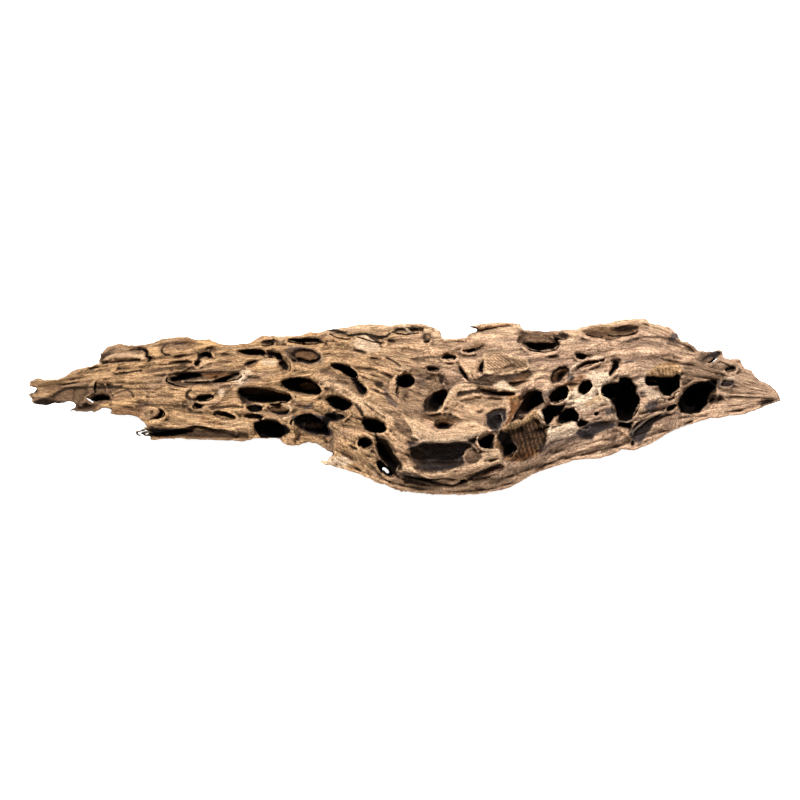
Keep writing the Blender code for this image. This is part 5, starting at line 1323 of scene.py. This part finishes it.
@dataclass
class Block:
    """The voxel grid of the wood: signed distances, below zero inside."""

    body: Body
    corner: tuple = field(init=False)
    values: np.ndarray = field(init=False)

    def __post_init__(self) -> None:
        """Turns the closed mesh into signed distances."""
        self.move = openvdb.createLinearTransform(voxelSize=VOXEL)
        grid = openvdb.FloatGrid.createLevelSetFromPolygons(
            self.body.points.astype(np.float32),
            triangles=self.body.triangles.astype(np.uint32),
            transform=self.move,
            halfWidth=BAND,
        )
        low, high = grid.evalActiveVoxelBoundingBox()
        self.corner = tuple(int(value) - 4 for value in low)
        shape = tuple(int(b) + 5 - c for b, c in zip(high, self.corner))
        self.values = np.empty(shape, np.float32)
        grid.copyToArray(self.values, ijk=self.corner)
        log.info("voxel grid: %s", shape)

    def work(self, sheet: Sheet) -> None:
        """Cuts and raises the side in view as the sheet says.

        Args:
            sheet: The worked view.
        """
        counts = self.values.shape
        x_steps = np.arange(counts[0]) + self.corner[0]
        y_steps = (np.arange(counts[1]) + self.corner[1])[:, None] * VOXEL
        z_steps = (np.arange(counts[2]) + self.corner[2])[None, :] * VOXEL
        cells = (x_steps * (VOXEL / PIXEL) + ORIGIN_COLUMN - FIRST_COLUMN) * CELLS_PER_PIXEL
        cells = np.clip(np.rint(cells).astype(int), 0, sheet.columns.shape[1] - 1)
        lines = (rows_of(y_steps, z_steps) - FIRST_ROW) * CELLS_PER_PIXEL
        lines = np.clip(lines, 0, sheet.rows.shape[0] - 1.001)
        first = lines.astype(int)
        share = (lines - first).astype(np.float32)
        depths = depths_of(y_steps, z_steps).astype(np.float32)
        facing = np.clip(sheet.facing, 0.4, 1.0)
        bare = (~sheet.seen & (sheet.outside < 0)).astype(float)
        limit = BAND * VOXEL
        for start in range(0, counts[0], 64):
            part = slice(start, min(start + 64, counts[0]))
            chosen = cells[part]

            def lookup(layer: np.ndarray) -> np.ndarray:
                """A layer of the sheet at each voxel of this part."""
                table = layer[:, chosen].T.astype(np.float32)
                return table[:, first] * (1 - share) + table[:, first + 1] * share

            cut, slope = lookup(sheet.cut), lookup(facing)
            ahead = (lookup(sheet.skin) + cut - depths) * slope
            values = self.values[part]
            change = lookup(sheet.skin - sheet.depth) + cut
            shell = np.maximum(ahead, -(ahead + (0.0015 - change) * slope))
            raised = np.minimum(values, np.where(change < -2e-5, shell, limit))
            fin = np.maximum(ahead, -(ahead + FIN * slope))
            raised = np.minimum(raised, np.where(lookup(bare) > 0.5, fin, limit))
            values = np.maximum(raised, np.where(change > 2e-5, ahead, -limit))
            self.values[part] = np.clip(values, -limit, limit)

    def roughen(self, sheet: Sheet, seed: int) -> None:
        """Works the sides that the photograph hides, with plates and ridges along the grain.

        Args:
            sheet: The worked view.
            seed: The number that fixes the relief.
        """
        near = np.argwhere(np.abs(self.values) < 0.98 * BAND * VOXEL)
        places = (near + np.array(self.corner)) * VOXEL
        x, y, z = places.T
        bent = y + 0.002 * ripple(x / 0.03, z / 0.01, seed)
        plates = ripple(x / 0.024, (bent + 0.7 * z) / 0.0042, seed + 1)
        plates = plates + ripple(x / 0.019, (z - 0.6 * bent) / 0.0042, seed + 2)
        fibres = ripple(x / 0.011, (bent + z) / 0.0013, seed + 3)
        lumps = ripple(x / 0.021, (y + z) / 0.011, seed + 4)
        relief = 0.0009 + 0.0008 * plates + 0.0003 * fibres + 0.0009 * lumps
        share = fade(sheet.away(places, sheet.deepest()) / 0.003 - 1)
        self.values[tuple(near.T)] += np.clip(relief, 0, 0.0022) * share

    def burrow(self, sheet: Sheet, seed: int) -> None:
        """Sinks burrows into the sides that the photograph hides.

        Args:
            sheet: The worked view.
            seed: The number that fixes the burrows.
        """
        random = np.random.default_rng(seed)
        deepest = sheet.deepest()
        near = np.argwhere(np.abs(self.values) < 0.5 * VOXEL)
        places = (near + np.array(self.corner)) * VOXEL
        free = (sheet.away(places, deepest) > 0.007) & (places[:, 2] > 0.004)
        near, places = near[free], places[free]
        reach = 17
        for number in random.integers(0, len(near), HIDDEN_BURROWS):
            low = np.maximum(near[number] - reach, 0)
            window = tuple(slice(a, a + 2 * reach) for a in low)
            values = self.values[window]
            steps = np.stack(np.indices(values.shape), axis=-1) + low + np.array(self.corner)
            middle = near[number]
            outward = np.array([
                self.values[tuple(middle + turn)] - self.values[tuple(middle - turn)]
                for turn in np.eye(3, dtype=int)
            ], float)
            outward /= np.linalg.norm(outward) + 1e-9
            along = np.array([1.0, *random.uniform(-0.3, 0.3, 2)])
            along -= outward * along.dot(outward)
            along /= np.linalg.norm(along) + 1e-9
            halves = random.uniform((0.0022, 0.0013, 0.003), (0.0085, 0.0036, 0.009))
            offset = steps * VOXEL - places[number]
            shares = np.stack([
                offset @ along / halves[0],
                offset @ np.cross(outward, along) / halves[1],
                offset @ outward / halves[2],
            ])
            inside = (1 - np.sqrt((shares ** 2).sum(axis=0))) * halves[1]
            room = sheet.away(steps * VOXEL, deepest) - 0.0035
            self.values[window] = np.maximum(values, np.minimum(inside, room))

    def soften(self) -> None:
        """Blurs the grid a little, so that facets and steps lose their edges."""
        for axis in range(3):
            upper = np.roll(self.values, 1, axis)
            lower = np.roll(self.values, -1, axis)
            self.values = 0.25 * upper + 0.5 * self.values + 0.25 * lower

    def skin(self) -> tuple:
        """The grid's surface as points and quads, without loose crumbs.

        Returns:
            The points, and the corners of each quad.
        """
        grid = openvdb.FloatGrid(BAND * VOXEL)
        grid.transform = self.move
        grid.copyFromArray(np.ascontiguousarray(self.values), ijk=self.corner, tolerance=1e-7)
        points, _, quads = grid.convertToPolygons(isovalue=0.0, adaptivity=0.0)
        quads = quads.astype(np.int64)
        label = np.arange(len(points))
        while True:
            low = label.copy()
            for side in range(4):
                ends = quads[:, side], quads[:, (side + 1) % 4]
                np.minimum.at(low, ends[0], label[ends[1]])
                np.minimum.at(low, ends[1], label[ends[0]])
            low = low[low]
            if (low == label).all():
                break
            label = low
        main = np.bincount(label).argmax()
        kept = quads[(label[quads] == main).all(axis=1)]
        used = np.unique(kept)
        number = np.zeros(len(points), np.int64)
        number[used] = np.arange(len(used))
        points, kept = points[used].astype(float), number[kept]
        corner = points[kept]
        volume = np.einsum("ij,ij->i", corner[:, 0], np.cross(corner[:, 1], corner[:, 2])).sum()
        volume += np.einsum("ij,ij->i", corner[:, 0], np.cross(corner[:, 2], corner[:, 3])).sum()
        if volume < 0:
            kept = kept[:, ::-1]
        log.info("skin: %d points, %d left out as crumbs", len(points), len(label) - len(used))
        return points, kept

    def crowding(self, places: np.ndarray, stride: int, reach: int) -> np.ndarray:
        """How much wood lies around places, from 0 to 1, blurred over some voxels.

        Args:
            places: Places in metres.
            stride: The step between the voxels that count.
            reach: How far each blur goes, in steps.

        Returns:
            The share of wood at each place.
        """
        filled = np.clip(0.5 - self.values[::stride, ::stride, ::stride] / VOXEL, 0, 1)
        for _ in range(3):
            for axis in range(3):
                total = filled.copy()
                for shift in range(1, reach + 1):
                    total += np.roll(filled, shift, axis) + np.roll(filled, -shift, axis)
                filled = total / (2 * reach + 1)
        steps = (places / VOXEL - np.array(self.corner)) / stride
        low = np.clip(np.floor(steps).astype(int), 0, np.array(filled.shape) - 2)
        share = np.clip(steps - low, 0, 1)
        result = np.zeros(len(places))
        for corner in range(8):
            bits = np.array([corner & 1, corner >> 1 & 1, corner >> 2 & 1])
            weight = np.where(bits, share, 1 - share).prod(axis=1)
            result += weight * filled[tuple((low + bits).T)]
        return result


def flow_of(places: np.ndarray) -> np.ndarray:
    """Where places lie along, across and through the grain, in metres.

    Args:
        places: Places in metres.

    Returns:
        Three lengths for each place.
    """
    columns = places[:, 0] / PIXEL + ORIGIN_COLUMN
    aside = grain_aside(columns, rows_of(places[:, 1], places[:, 2])) * PIXEL
    return np.column_stack([places[:, 0], aside, depths_of(places[:, 1], places[:, 2])])


def set_values(mesh: bpy.types.Mesh, name: str, kind: str, values: np.ndarray) -> None:
    """Stores values on a mesh's points under a name.

    Args:
        mesh: The mesh.
        name: The name that the material reads.
        kind: The attribute's type.
        values: One value, or row of values, for each point.
    """
    layer = mesh.attributes.new(name, kind, "POINT")
    slot = {"FLOAT": "value", "FLOAT_VECTOR": "vector", "FLOAT_COLOR": "color"}[kind]
    layer.data.foreach_set(slot, np.ascontiguousarray(values, np.float32).ravel())


def get_points(mesh: bpy.types.Mesh) -> np.ndarray:
    """A mesh's points as an array.

    Args:
        mesh: The mesh.

    Returns:
        One row for each point.
    """
    points = np.empty(len(mesh.vertices) * 3, np.float32)
    mesh.vertices.foreach_get("co", points)
    return points.reshape(-1, 3).astype(float)


@dataclass
class Weathering:
    """Geometry Nodes that raise the fibres of the wood along its grain."""

    depth: float = 0.00045
    fine_depth: float = 0.0002
    seed: float = 4.0

    def tree(self) -> bpy.types.NodeTree:
        """Builds the node tree, with its amounts as named inputs.

        Returns:
            The node tree.
        """
        tree = bpy.data.node_groups.new("weathering", "GeometryNodeTree")
        face = tree.interface
        face.new_socket("Geometry", in_out="OUTPUT", socket_type="NodeSocketGeometry")
        face.new_socket("Geometry", in_out="INPUT", socket_type="NodeSocketGeometry")
        for name in ("Ridge depth", "Fibre depth", "Seed"):
            face.new_socket(name, in_out="INPUT", socket_type="NodeSocketFloat")
        face.new_socket("Material", in_out="INPUT", socket_type="NodeSocketMaterial")
        nodes, links = tree.nodes, tree.links
        given = nodes.new("NodeGroupInput")
        flow = nodes.new("GeometryNodeInputNamedAttribute")
        flow.data_type = "FLOAT_VECTOR"
        flow.inputs["Name"].default_value = "flow"

        def noise(stretch: tuple, detail: float) -> bpy.types.NodeSocket:
            """Noise along the grain, from about -0.5 to 0.5, with waves per metre each way.

            Args:
                stretch: Waves per metre along, across and through the grain.
                detail: How many finer layers the noise has.

            Returns:
                The noise.
            """
            scale = nodes.new("ShaderNodeVectorMath")
            scale.operation = "MULTIPLY"
            scale.inputs[1].default_value = stretch
            links.new(flow.outputs["Attribute"], scale.inputs[0])
            made = nodes.new("ShaderNodeTexNoise")
            made.noise_dimensions = "4D"
            made.inputs["Scale"].default_value = 1.0
            made.inputs["Detail"].default_value = detail
            links.new(scale.outputs[0], made.inputs["Vector"])
            links.new(given.outputs["Seed"], made.inputs["W"])
            centred = nodes.new("ShaderNodeMath")
            centred.operation = "SUBTRACT"
            centred.inputs[1].default_value = 0.5
            links.new(made.outputs["Fac"], centred.inputs[0])
            return centred.outputs[0]

        def times(
            first: bpy.types.NodeSocket, second: bpy.types.NodeSocket
        ) -> bpy.types.NodeSocket:
            """One value times another.

            Args:
                first: A value.
                second: What it is multiplied by.

            Returns:
                The product.
            """
            made = nodes.new("ShaderNodeMath")
            made.operation = "MULTIPLY"
            links.new(first, made.inputs[0])
            links.new(second, made.inputs[1])
            return made.outputs[0]

        ridges = times(noise((36, 420, 420), 2), given.outputs["Ridge depth"])
        fibres = times(noise((110, 1300, 1300), 1), given.outputs["Fibre depth"])
        both = nodes.new("ShaderNodeMath")
        both.operation = "ADD"
        links.new(ridges, both.inputs[0])
        links.new(fibres, both.inputs[1])
        outward = nodes.new("GeometryNodeInputNormal")
        offset = nodes.new("ShaderNodeVectorMath")
        offset.operation = "SCALE"
        links.new(outward.outputs[0], offset.inputs[0])
        links.new(both.outputs[0], offset.inputs["Scale"])
        move = nodes.new("GeometryNodeSetPosition")
        links.new(given.outputs["Geometry"], move.inputs["Geometry"])
        links.new(offset.outputs[0], move.inputs["Offset"])
        real = nodes.new("GeometryNodeRealizeInstances")
        links.new(move.outputs["Geometry"], real.inputs["Geometry"])
        cover = nodes.new("GeometryNodeSetMaterial")
        links.new(real.outputs["Geometry"], cover.inputs["Geometry"])
        links.new(given.outputs["Material"], cover.inputs["Material"])
        result = nodes.new("NodeGroupOutput")
        links.new(cover.outputs["Geometry"], result.inputs[0])
        return tree

    def add_to(self, piece: bpy.types.Object, material: bpy.types.Material) -> None:
        """Puts the nodes on a piece as a modifier.

        Args:
            piece: The piece.
            material: The material that the nodes set.
        """
        modifier = piece.modifiers.new("weathering", "NODES")
        modifier.node_group = self.tree()
        amounts = {
            "Ridge depth": 2 * self.depth,
            "Fibre depth": 2 * self.fine_depth,
            "Seed": self.seed,
            "Material": material,
        }
        for item in modifier.node_group.interface.items_tree:
            if item.in_out == "INPUT" and item.name in amounts:
                modifier[item.identifier] = amounts[item.name]


@dataclass(frozen=True)
class WoodFinish:
    """The dry, bleached skin of the wood, with painted shade in creases and hollows and painted
    highlights on crests.
    """

    pale: tuple = (216, 177, 133)
    middle: tuple = (182, 142, 102)
    dark: tuple = (126, 90, 64)
    pale_right: tuple = (242, 204, 168)
    middle_right: tuple = (208, 168, 136)
    dark_right: tuple = (146, 112, 90)
    grey: tuple = (150, 120, 102)
    # Painted highlight, with some wear, on exposed crests; painted shade in creases; painted
    # shadow deep in hollows and holes
    crest_highlight_and_wear: tuple = (238, 208, 172)
    crease_shade: tuple = (52, 36, 27)
    hollow: tuple = (12, 8, 6)
    light: float = 1.2
    roughness: float = 0.9
    bump_strength: float = 0.8
    bump_distance: float = 0.0008

    def shade(self, colour: tuple) -> tuple:
        """The colour that a surface needs to look like this one under the scene's light."""
        return (*(linear(colour) / self.light), 1.0)

    def material(self) -> bpy.types.Material:
        """Builds the wood's material.

        Returns:
            The material.
        """
        made = bpy.data.materials.new("driftwood")
        made.use_nodes = True
        nodes, links = made.node_tree.nodes, made.node_tree.links
        surface = nodes["Principled BSDF"]
        surface.inputs["Roughness"].default_value = self.roughness
        surface.inputs["Specular IOR Level"].default_value = 0.05

        def attribute(name: str) -> bpy.types.Node:
            """A value that the mesh holds under a name.

            Args:
                name: The name.

            Returns:
                The node that reads it.
            """
            made = nodes.new("ShaderNodeAttribute")
            made.attribute_name = name
            return made

        flow, paint = attribute("flow"), attribute("paint")
        crowd, crease, painted_deep_shadow = attribute("crowd"), attribute("crease"), attribute("painted_deep_shadow")
        tone = attribute("tone")

        def noise(stretch: tuple, detail: float, roughness: float) -> bpy.types.NodeSocket:
            """Noise along the grain, from 0 to 1, with waves per metre each way.

            Args:
                stretch: Waves per metre along, across and through the grain.
                detail: How many finer layers the noise has.
                roughness: How strong the finer layers are.

            Returns:
                The noise.
            """
            scale = nodes.new("ShaderNodeVectorMath")
            scale.operation = "MULTIPLY"
            scale.inputs[1].default_value = stretch
            links.new(flow.outputs["Vector"], scale.inputs[0])
            made = nodes.new("ShaderNodeTexNoise")
            made.inputs["Scale"].default_value = 1.0
            made.inputs["Detail"].default_value = detail
            made.inputs["Roughness"].default_value = roughness
            links.new(scale.outputs[0], made.inputs["Vector"])
            return made.outputs["Fac"]

        def ramp(factor: bpy.types.NodeSocket, stops: tuple) -> bpy.types.NodeSocket:
            """Colours along a factor, given as stops of a place and a colour.

            Args:
                factor: A value from 0 to 1.
                stops: The places and their colours.

            Returns:
                The colour.
            """
            made = nodes.new("ShaderNodeValToRGB")
            elements = made.color_ramp.elements
            while len(elements) < len(stops):
                elements.new(0.5)
            for element, (place, colour) in zip(elements, stops):
                element.position = place
                element.color = colour
            links.new(factor, made.inputs["Fac"])
            return made.outputs["Color"]

        def mix(
            factor: bpy.types.NodeSocket | float,
            first: bpy.types.NodeSocket | tuple,
            second: bpy.types.NodeSocket | tuple,
            kind: str = "MIX",
        ) -> bpy.types.NodeSocket:
            """One colour laid over another, by a factor.

            Args:
                factor: How far the second covers the first.
                first: The colour below.
                second: The colour above.
                kind: The way in which they mix.

            Returns:
                The mixed colour.
            """
            made = nodes.new("ShaderNodeMix")
            made.data_type = "RGBA"
            made.blend_type = kind
            made.clamp_factor = True
            for socket, value in zip((made.inputs[0], made.inputs[6], made.inputs[7]),
                                     (factor, first, second)):
                if isinstance(value, bpy.types.NodeSocket):
                    links.new(value, socket)
                else:
                    socket.default_value = value
            return made.outputs[2]

        def remap(
            value: bpy.types.NodeSocket, low: float, high: float, first: float, last: float
        ) -> bpy.types.NodeSocket:
            """A smooth step of a value from low to high, as first to last.

            Args:
                value: The value.
                low: The value that gives first.
                high: The value that gives last.
                first: The result at low.
                last: The result at high.

            Returns:
                The result.
            """
            made = nodes.new("ShaderNodeMapRange")
            made.interpolation_type = "SMOOTHSTEP"
            for socket, number in zip(made.inputs[1:5], (low, high, first, last)):
                socket.default_value = number
            links.new(value, made.inputs[0])
            return made.outputs[0]

        def times(
            colour: bpy.types.NodeSocket, value: bpy.types.NodeSocket
        ) -> bpy.types.NodeSocket:
            """A colour made brighter or darker by a value.

            Args:
                colour: A colour.
                value: How much brighter it becomes.

            Returns:
                The new colour.
            """
            grey = nodes.new("ShaderNodeCombineColor")
            for socket in grey.inputs[:3]:
                links.new(value, socket)
            return mix(1.0, colour, grey.outputs[0], "MULTIPLY")

        broad = noise((14, 120, 120), 3, 0.55)
        streak = noise((130, 860, 860), 4, 0.7)
        fibre = noise((120, 1150, 1150), 2, 0.6)
        speckle = noise((900, 1400, 1400), 3, 0.7)
        place = nodes.new("ShaderNodeTexCoord")
        parts = nodes.new("ShaderNodeSeparateXYZ")
        links.new(place.outputs["Object"], parts.inputs[0])
        rightward = remap(parts.outputs["X"], -0.05, 0.07, 0.0, 1.0)
        left = ramp(streak, (
            (0.36, self.shade(self.dark)), (0.5, self.shade(self.middle)),
            (0.64, self.shade(self.pale)),
        ))
        right = ramp(streak, (
            (0.36, self.shade(self.dark_right)), (0.5, self.shade(self.middle_right)),
            (0.64, self.shade(self.pale_right)),
        ))
        wood = mix(rightward, left, right)
        wood = times(wood, remap(broad, 0.35, 0.65, 0.8, 1.14))
        greyed = remap(noise((24, 60, 60), 2, 0.5), 0.5, 0.66, 0.0, 0.5)
        wood = mix(greyed, wood, self.shade(self.grey))
        painted = times(paint.outputs["Color"], remap(streak, 0.36, 0.62, 0.74, 1.18))
        tinted = mix(paint.outputs["Alpha"], wood, painted)
        tinted = times(tinted, remap(fibre, 0.3, 0.7, 0.74, 1.22))
        tinted = times(tinted, remap(speckle, 0.32, 0.68, 0.52, 1.46))
        # Painted shade in recesses and painted highlight on raised places of the worked side
        tinted = times(tinted, remap(tone.outputs["Fac"], -0.9, 0.9, 0.62, 1.24))
        # Painted highlight, with some wear, on exposed crests where little wood lies around
        crest_highlight_and_wear_share = remap(crease.outputs["Fac"], 0.26, 0.1, 0.0, 0.22)
        tinted = mix(crest_highlight_and_wear_share, tinted, self.shade(self.crest_highlight_and_wear))
        # Painted shade in creases
        creased = remap(crease.outputs["Fac"], 0.33, 0.55, 0.0, 0.85)
        tinted = mix(creased, tinted, self.shade(self.crease_shade))
        # Painted shadow deep in hollows and holes
        deep = remap(crowd.outputs["Fac"], 0.46, 0.74, 0.0, 0.96)
        tinted = mix(deep, tinted, self.shade(self.hollow))
        # Painted deep shadow in the holes and crevices of the marks
        painted_deep_shadow_share = remap(painted_deep_shadow.outputs["Fac"], 0.3, 0.7, 0.0, 1.0)
        tinted = mix(painted_deep_shadow_share, tinted, self.shade(self.hollow))
        links.new(tinted, surface.inputs["Base Color"])
        bump = nodes.new("ShaderNodeBump")
        bump.inputs["Strength"].default_value = self.bump_strength
        bump.inputs["Distance"].default_value = self.bump_distance
        both = nodes.new("ShaderNodeMath")
        both.operation = "ADD"
        links.new(speckle, both.inputs[0])
        links.new(fibre, both.inputs[1])
        links.new(both.outputs[0], bump.inputs["Height"])
        links.new(bump.outputs["Normal"], surface.inputs["Normal"])
        return made


@dataclass
class Driftwood:
    """The one piece of wood: sculpted in voxels, weathered, thinned and coloured."""

    node: bpy.types.Object
    finish: WoodFinish = field(default_factory=WoodFinish)
    weathering: Weathering = field(default_factory=Weathering)

    def build(self) -> bpy.types.Object:
        """Makes the piece.

        Returns:
            The finished piece, at the origin.
        """
        body = Body.of(self.node)
        sheet = Sheet(body)
        sheet.wear(seed=31)
        for marks in (ARM_MARKS, SHOULDER_MARKS, BOWL_MARKS, RIGHT_MARKS):
            sheet.mark(marks)
        sheet.calm()
        block = Block(body)
        block.work(sheet)
        block.roughen(sheet, seed=63)
        block.burrow(sheet, seed=12)
        block.soften()
        points, quads = block.skin()
        material = self.finish.material()
        mesh = self.thin(points, quads, sheet, material)
        self.fit_box(mesh, body)
        self.colour(mesh, sheet, block)
        piece = bpy.data.objects.new("driftwood", mesh)
        bpy.context.scene.collection.objects.link(piece)
        log.info("driftwood: %d triangles", len(mesh.polygons))
        return piece

    def in_view(self, places: np.ndarray, sheet: Sheet, margin: float) -> np.ndarray:
        """Which places lie on the side that the photograph shows.

        Args:
            places: Places in metres.
            sheet: The worked view.
            margin: How far behind the worked surface still counts, in metres.

        Returns:
            One truth for each place.
        """
        rows, columns = sheet.cells(places, rim=2)
        surface = sheet.surface()
        shown = sheet.seen | (sheet.outside < 0)
        deepest = np.full(len(places), -1.0)
        for down in (-2, 0, 2):
            for side in (-2, 0, 2):
                near = surface[rows + down, columns + side]
                near = np.where(shown[rows + down, columns + side], near, -1.0)
                deepest = np.maximum(deepest, near)
        return depths_of(places[:, 1], places[:, 2]) < deepest + margin

    def thin(
        self, points: np.ndarray, quads: np.ndarray, sheet: Sheet, material: bpy.types.Material
    ) -> bpy.types.Mesh:
        """Weathers the dense skin, then thins the sides that the photograph hides.

        Args:
            points: The dense skin's points.
            quads: The corners of its quads.
            sheet: The worked view.
            material: The wood's material.

        Returns:
            The thinned mesh.
        """
        dense = bpy.data.meshes.new("dense")
        dense.vertices.add(len(points))
        dense.vertices.foreach_set("co", points.astype(np.float32).ravel())
        dense.loops.add(4 * len(quads))
        dense.loops.foreach_set("vertex_index", quads.astype(np.int32).ravel())
        dense.polygons.add(len(quads))
        dense.polygons.foreach_set("loop_start", np.arange(0, 4 * len(quads), 4, dtype=np.int32))
        dense.update(calc_edges=True)
        set_values(dense, "flow", "FLOAT_VECTOR", flow_of(points))
        source = bpy.data.objects.new("dense", dense)
        bpy.context.scene.collection.objects.link(source)
        group = source.vertex_groups.new(name="spare")
        hidden = ~self.in_view(points, sheet, 0.002)
        group.add(np.flatnonzero(hidden).tolist(), 1.0, "REPLACE")
        group.add(np.flatnonzero(~hidden).tolist(), 0.0, "REPLACE")
        self.weathering.add_to(source, material)
        fewer = source.modifiers.new("fewer", "DECIMATE")
        fewer.ratio = AIMED_TRIANGLES / (2 * len(quads))
        fewer.vertex_group = "spare"
        fewer.vertex_group_factor = 0.000001
        bpy.context.view_layer.update()
        graph = bpy.context.evaluated_depsgraph_get()
        mesh = bpy.data.meshes.new_from_object(source.evaluated_get(graph), depsgraph=graph)
        mesh.name = "driftwood"
        bpy.data.objects.remove(source)
        work = bmesh.new()
        work.from_mesh(mesh)
        bmesh.ops.triangulate(work, faces=work.faces)
        work.to_mesh(mesh)
        work.free()
        mesh.attributes.remove(mesh.attributes["flow"])
        mesh.shade_smooth()
        mesh.set_sharp_from_angle(angle=math.radians(58))
        log.info("thinned: %d points, %d faces", len(mesh.vertices), len(mesh.polygons))
        return mesh

    def fit_box(self, mesh: bpy.types.Mesh, body: Body) -> None:
        """Keeps the piece within the CAD solid's box, and flat where it rests.

        Args:
            mesh: The thinned mesh.
            body: The closed mesh of the CAD solid.
        """
        points = get_points(mesh)
        slack = np.array([0.0004, 0.0004, 0.0])
        points = np.clip(points, body.points.min(axis=0) - slack, body.points.max(axis=0) + slack)
        mesh.vertices.foreach_set("co", points.astype(np.float32).ravel())
        mesh.update()

    def colour(self, mesh: bpy.types.Mesh, sheet: Sheet, block: Block) -> None:
        """Stores where the grain runs, the painted marks and how hollow each place is; the finish
        paints shade and highlights from the hollowness.

        Args:
            mesh: The thinned mesh.
            sheet: The worked view.
            block: The worked voxels.
        """
        points = get_points(mesh)
        normals = np.empty(len(mesh.vertices) * 3, np.float32)
        mesh.vertices.foreach_get("normal", normals)
        normals = normals.reshape(-1, 3)
        set_values(mesh, "flow", "FLOAT_VECTOR", flow_of(points))
        # How enclosed each place is, at two sizes: the finish paints shade from these into hollows
        # and creases, and highlights onto crests
        set_values(mesh, "crowd", "FLOAT", block.crowding(points + 0.0012 * normals, 2, 2))
        set_values(mesh, "crease", "FLOAT", block.crowding(points + 0.0004 * normals, 1, 1))
        cells = sheet.cells(points)
        paint = sheet.paint[cells]
        paint[:, :3] /= np.maximum(paint[:, 3:], 1e-4) * self.finish.light
        shown = self.in_view(points, sheet, 0.0025)
        paint[:, 3] *= shown
        set_values(mesh, "paint", "FLOAT_COLOR", paint)
        # Painted deep shadow of holes and crevices, and painted light and shade of the relief
        set_values(mesh, "painted_deep_shadow", "FLOAT", sheet.painted_deep_shadow[cells] * shown)
        set_values(mesh, "tone", "FLOAT", sheet.tone()[cells] * shown)
        log.info("colour: %d of %d points are in view", shown.sum(), len(shown))


@dataclass
class Studio:
    """The pale floor, the soft light and the camera."""

    distance: float = 13.3333
    lens: float = 1000.0
    floor_size: float = 60.0
    floor_glow: float = 0.95
    key_size: float = 0.4
    key_power: float = 61.0
    key_place: tuple = (-0.4, -0.25, 2.0)
    key_aim: tuple = (0.0, 0.0, 0.02)
    surround: float = 0.34

    def build(self) -> None:
        """Adds the floor, the lights, the surroundings and the camera."""
        self.floor()
        self.key()
        self.surroundings()
        self.camera()

    def floor(self) -> None:
        """Adds the pale floor."""
        bpy.ops.mesh.primitive_plane_add(size=self.floor_size, location=(0, 0, 0))
        floor = bpy.context.object
        floor.name = "floor"
        material = bpy.data.materials.new("floor")
        material.use_nodes = True
        surface = material.node_tree.nodes["Principled BSDF"]
        surface.inputs["Base Color"].default_value = (0.8, 0.8, 0.8, 1)
        surface.inputs["Roughness"].default_value = 1.0
        surface.inputs["Specular IOR Level"].default_value = 0.0
        surface.inputs["Emission Color"].default_value = (1, 1, 1, 1)
        path = material.node_tree.nodes.new("ShaderNodeLightPath")
        glow = material.node_tree.nodes.new("ShaderNodeMath")
        glow.operation = "MULTIPLY"
        glow.inputs[1].default_value = self.floor_glow
        material.node_tree.links.new(path.outputs["Is Camera Ray"], glow.inputs[0])
        material.node_tree.links.new(glow.outputs[0], surface.inputs["Emission Strength"])
        floor.data.materials.append(material)
        floor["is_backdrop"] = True

    def key(self) -> None:
        """Adds the large soft light above and in front."""
        light = bpy.data.lights.new("key", "AREA")
        light.shape = "SQUARE"
        light.size = self.key_size
        light.energy = self.key_power
        lamp = bpy.data.objects.new("key", light)
        lamp.location = self.key_place
        sight = Vector(self.key_aim) - lamp.location
        lamp.rotation_euler = sight.to_track_quat("-Z", "Y").to_euler()
        bpy.context.scene.collection.objects.link(lamp)

    def surroundings(self) -> None:
        """Sets the even white light all round."""
        world = bpy.data.worlds.new("studio")
        world.use_nodes = True
        back = world.node_tree.nodes["Background"]
        back.inputs["Color"].default_value = (1, 1, 1, 1)
        back.inputs["Strength"].default_value = self.surround
        bpy.context.scene.world = world
        bpy.context.scene.view_settings.view_transform = "Standard"

    def camera(self) -> None:
        """Sets the camera where the photograph was taken from."""
        data = bpy.data.cameras.new("camera")
        data.lens = self.lens
        data.clip_end = 40
        camera = bpy.data.objects.new("camera", data)
        up = (ORIGIN_ROW - 400) * PIXEL
        middle = Vector(((400 - ORIGIN_COLUMN) * PIXEL, up * RISE, up * LEVEL))
        camera.location = middle - INTO * self.distance
        camera.rotation_euler = INTO.to_track_quat("-Z", "Y").to_euler()
        bpy.context.scene.collection.objects.link(camera)
        bpy.context.scene.camera = camera


def note_size(name: str) -> None:
    """Keeps the object's size at a stage of the work.

    Args:
        name: The stage of the work.
    """
    low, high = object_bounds()
    sizes = getattr(note_size, "sizes", {})
    sizes[name] = [list(low), list(high)]
    note_size.sizes = sizes


def main() -> None:
    """Dresses the CAD frame."""
    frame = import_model()
    note_size("loaded")
    piece = Driftwood(frame["nodes"]["wood"]).build()
    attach(piece, "root")
    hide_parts("wood")
    Studio().build()
    note_size("dressed")


if __name__ == "__main__":
    main()
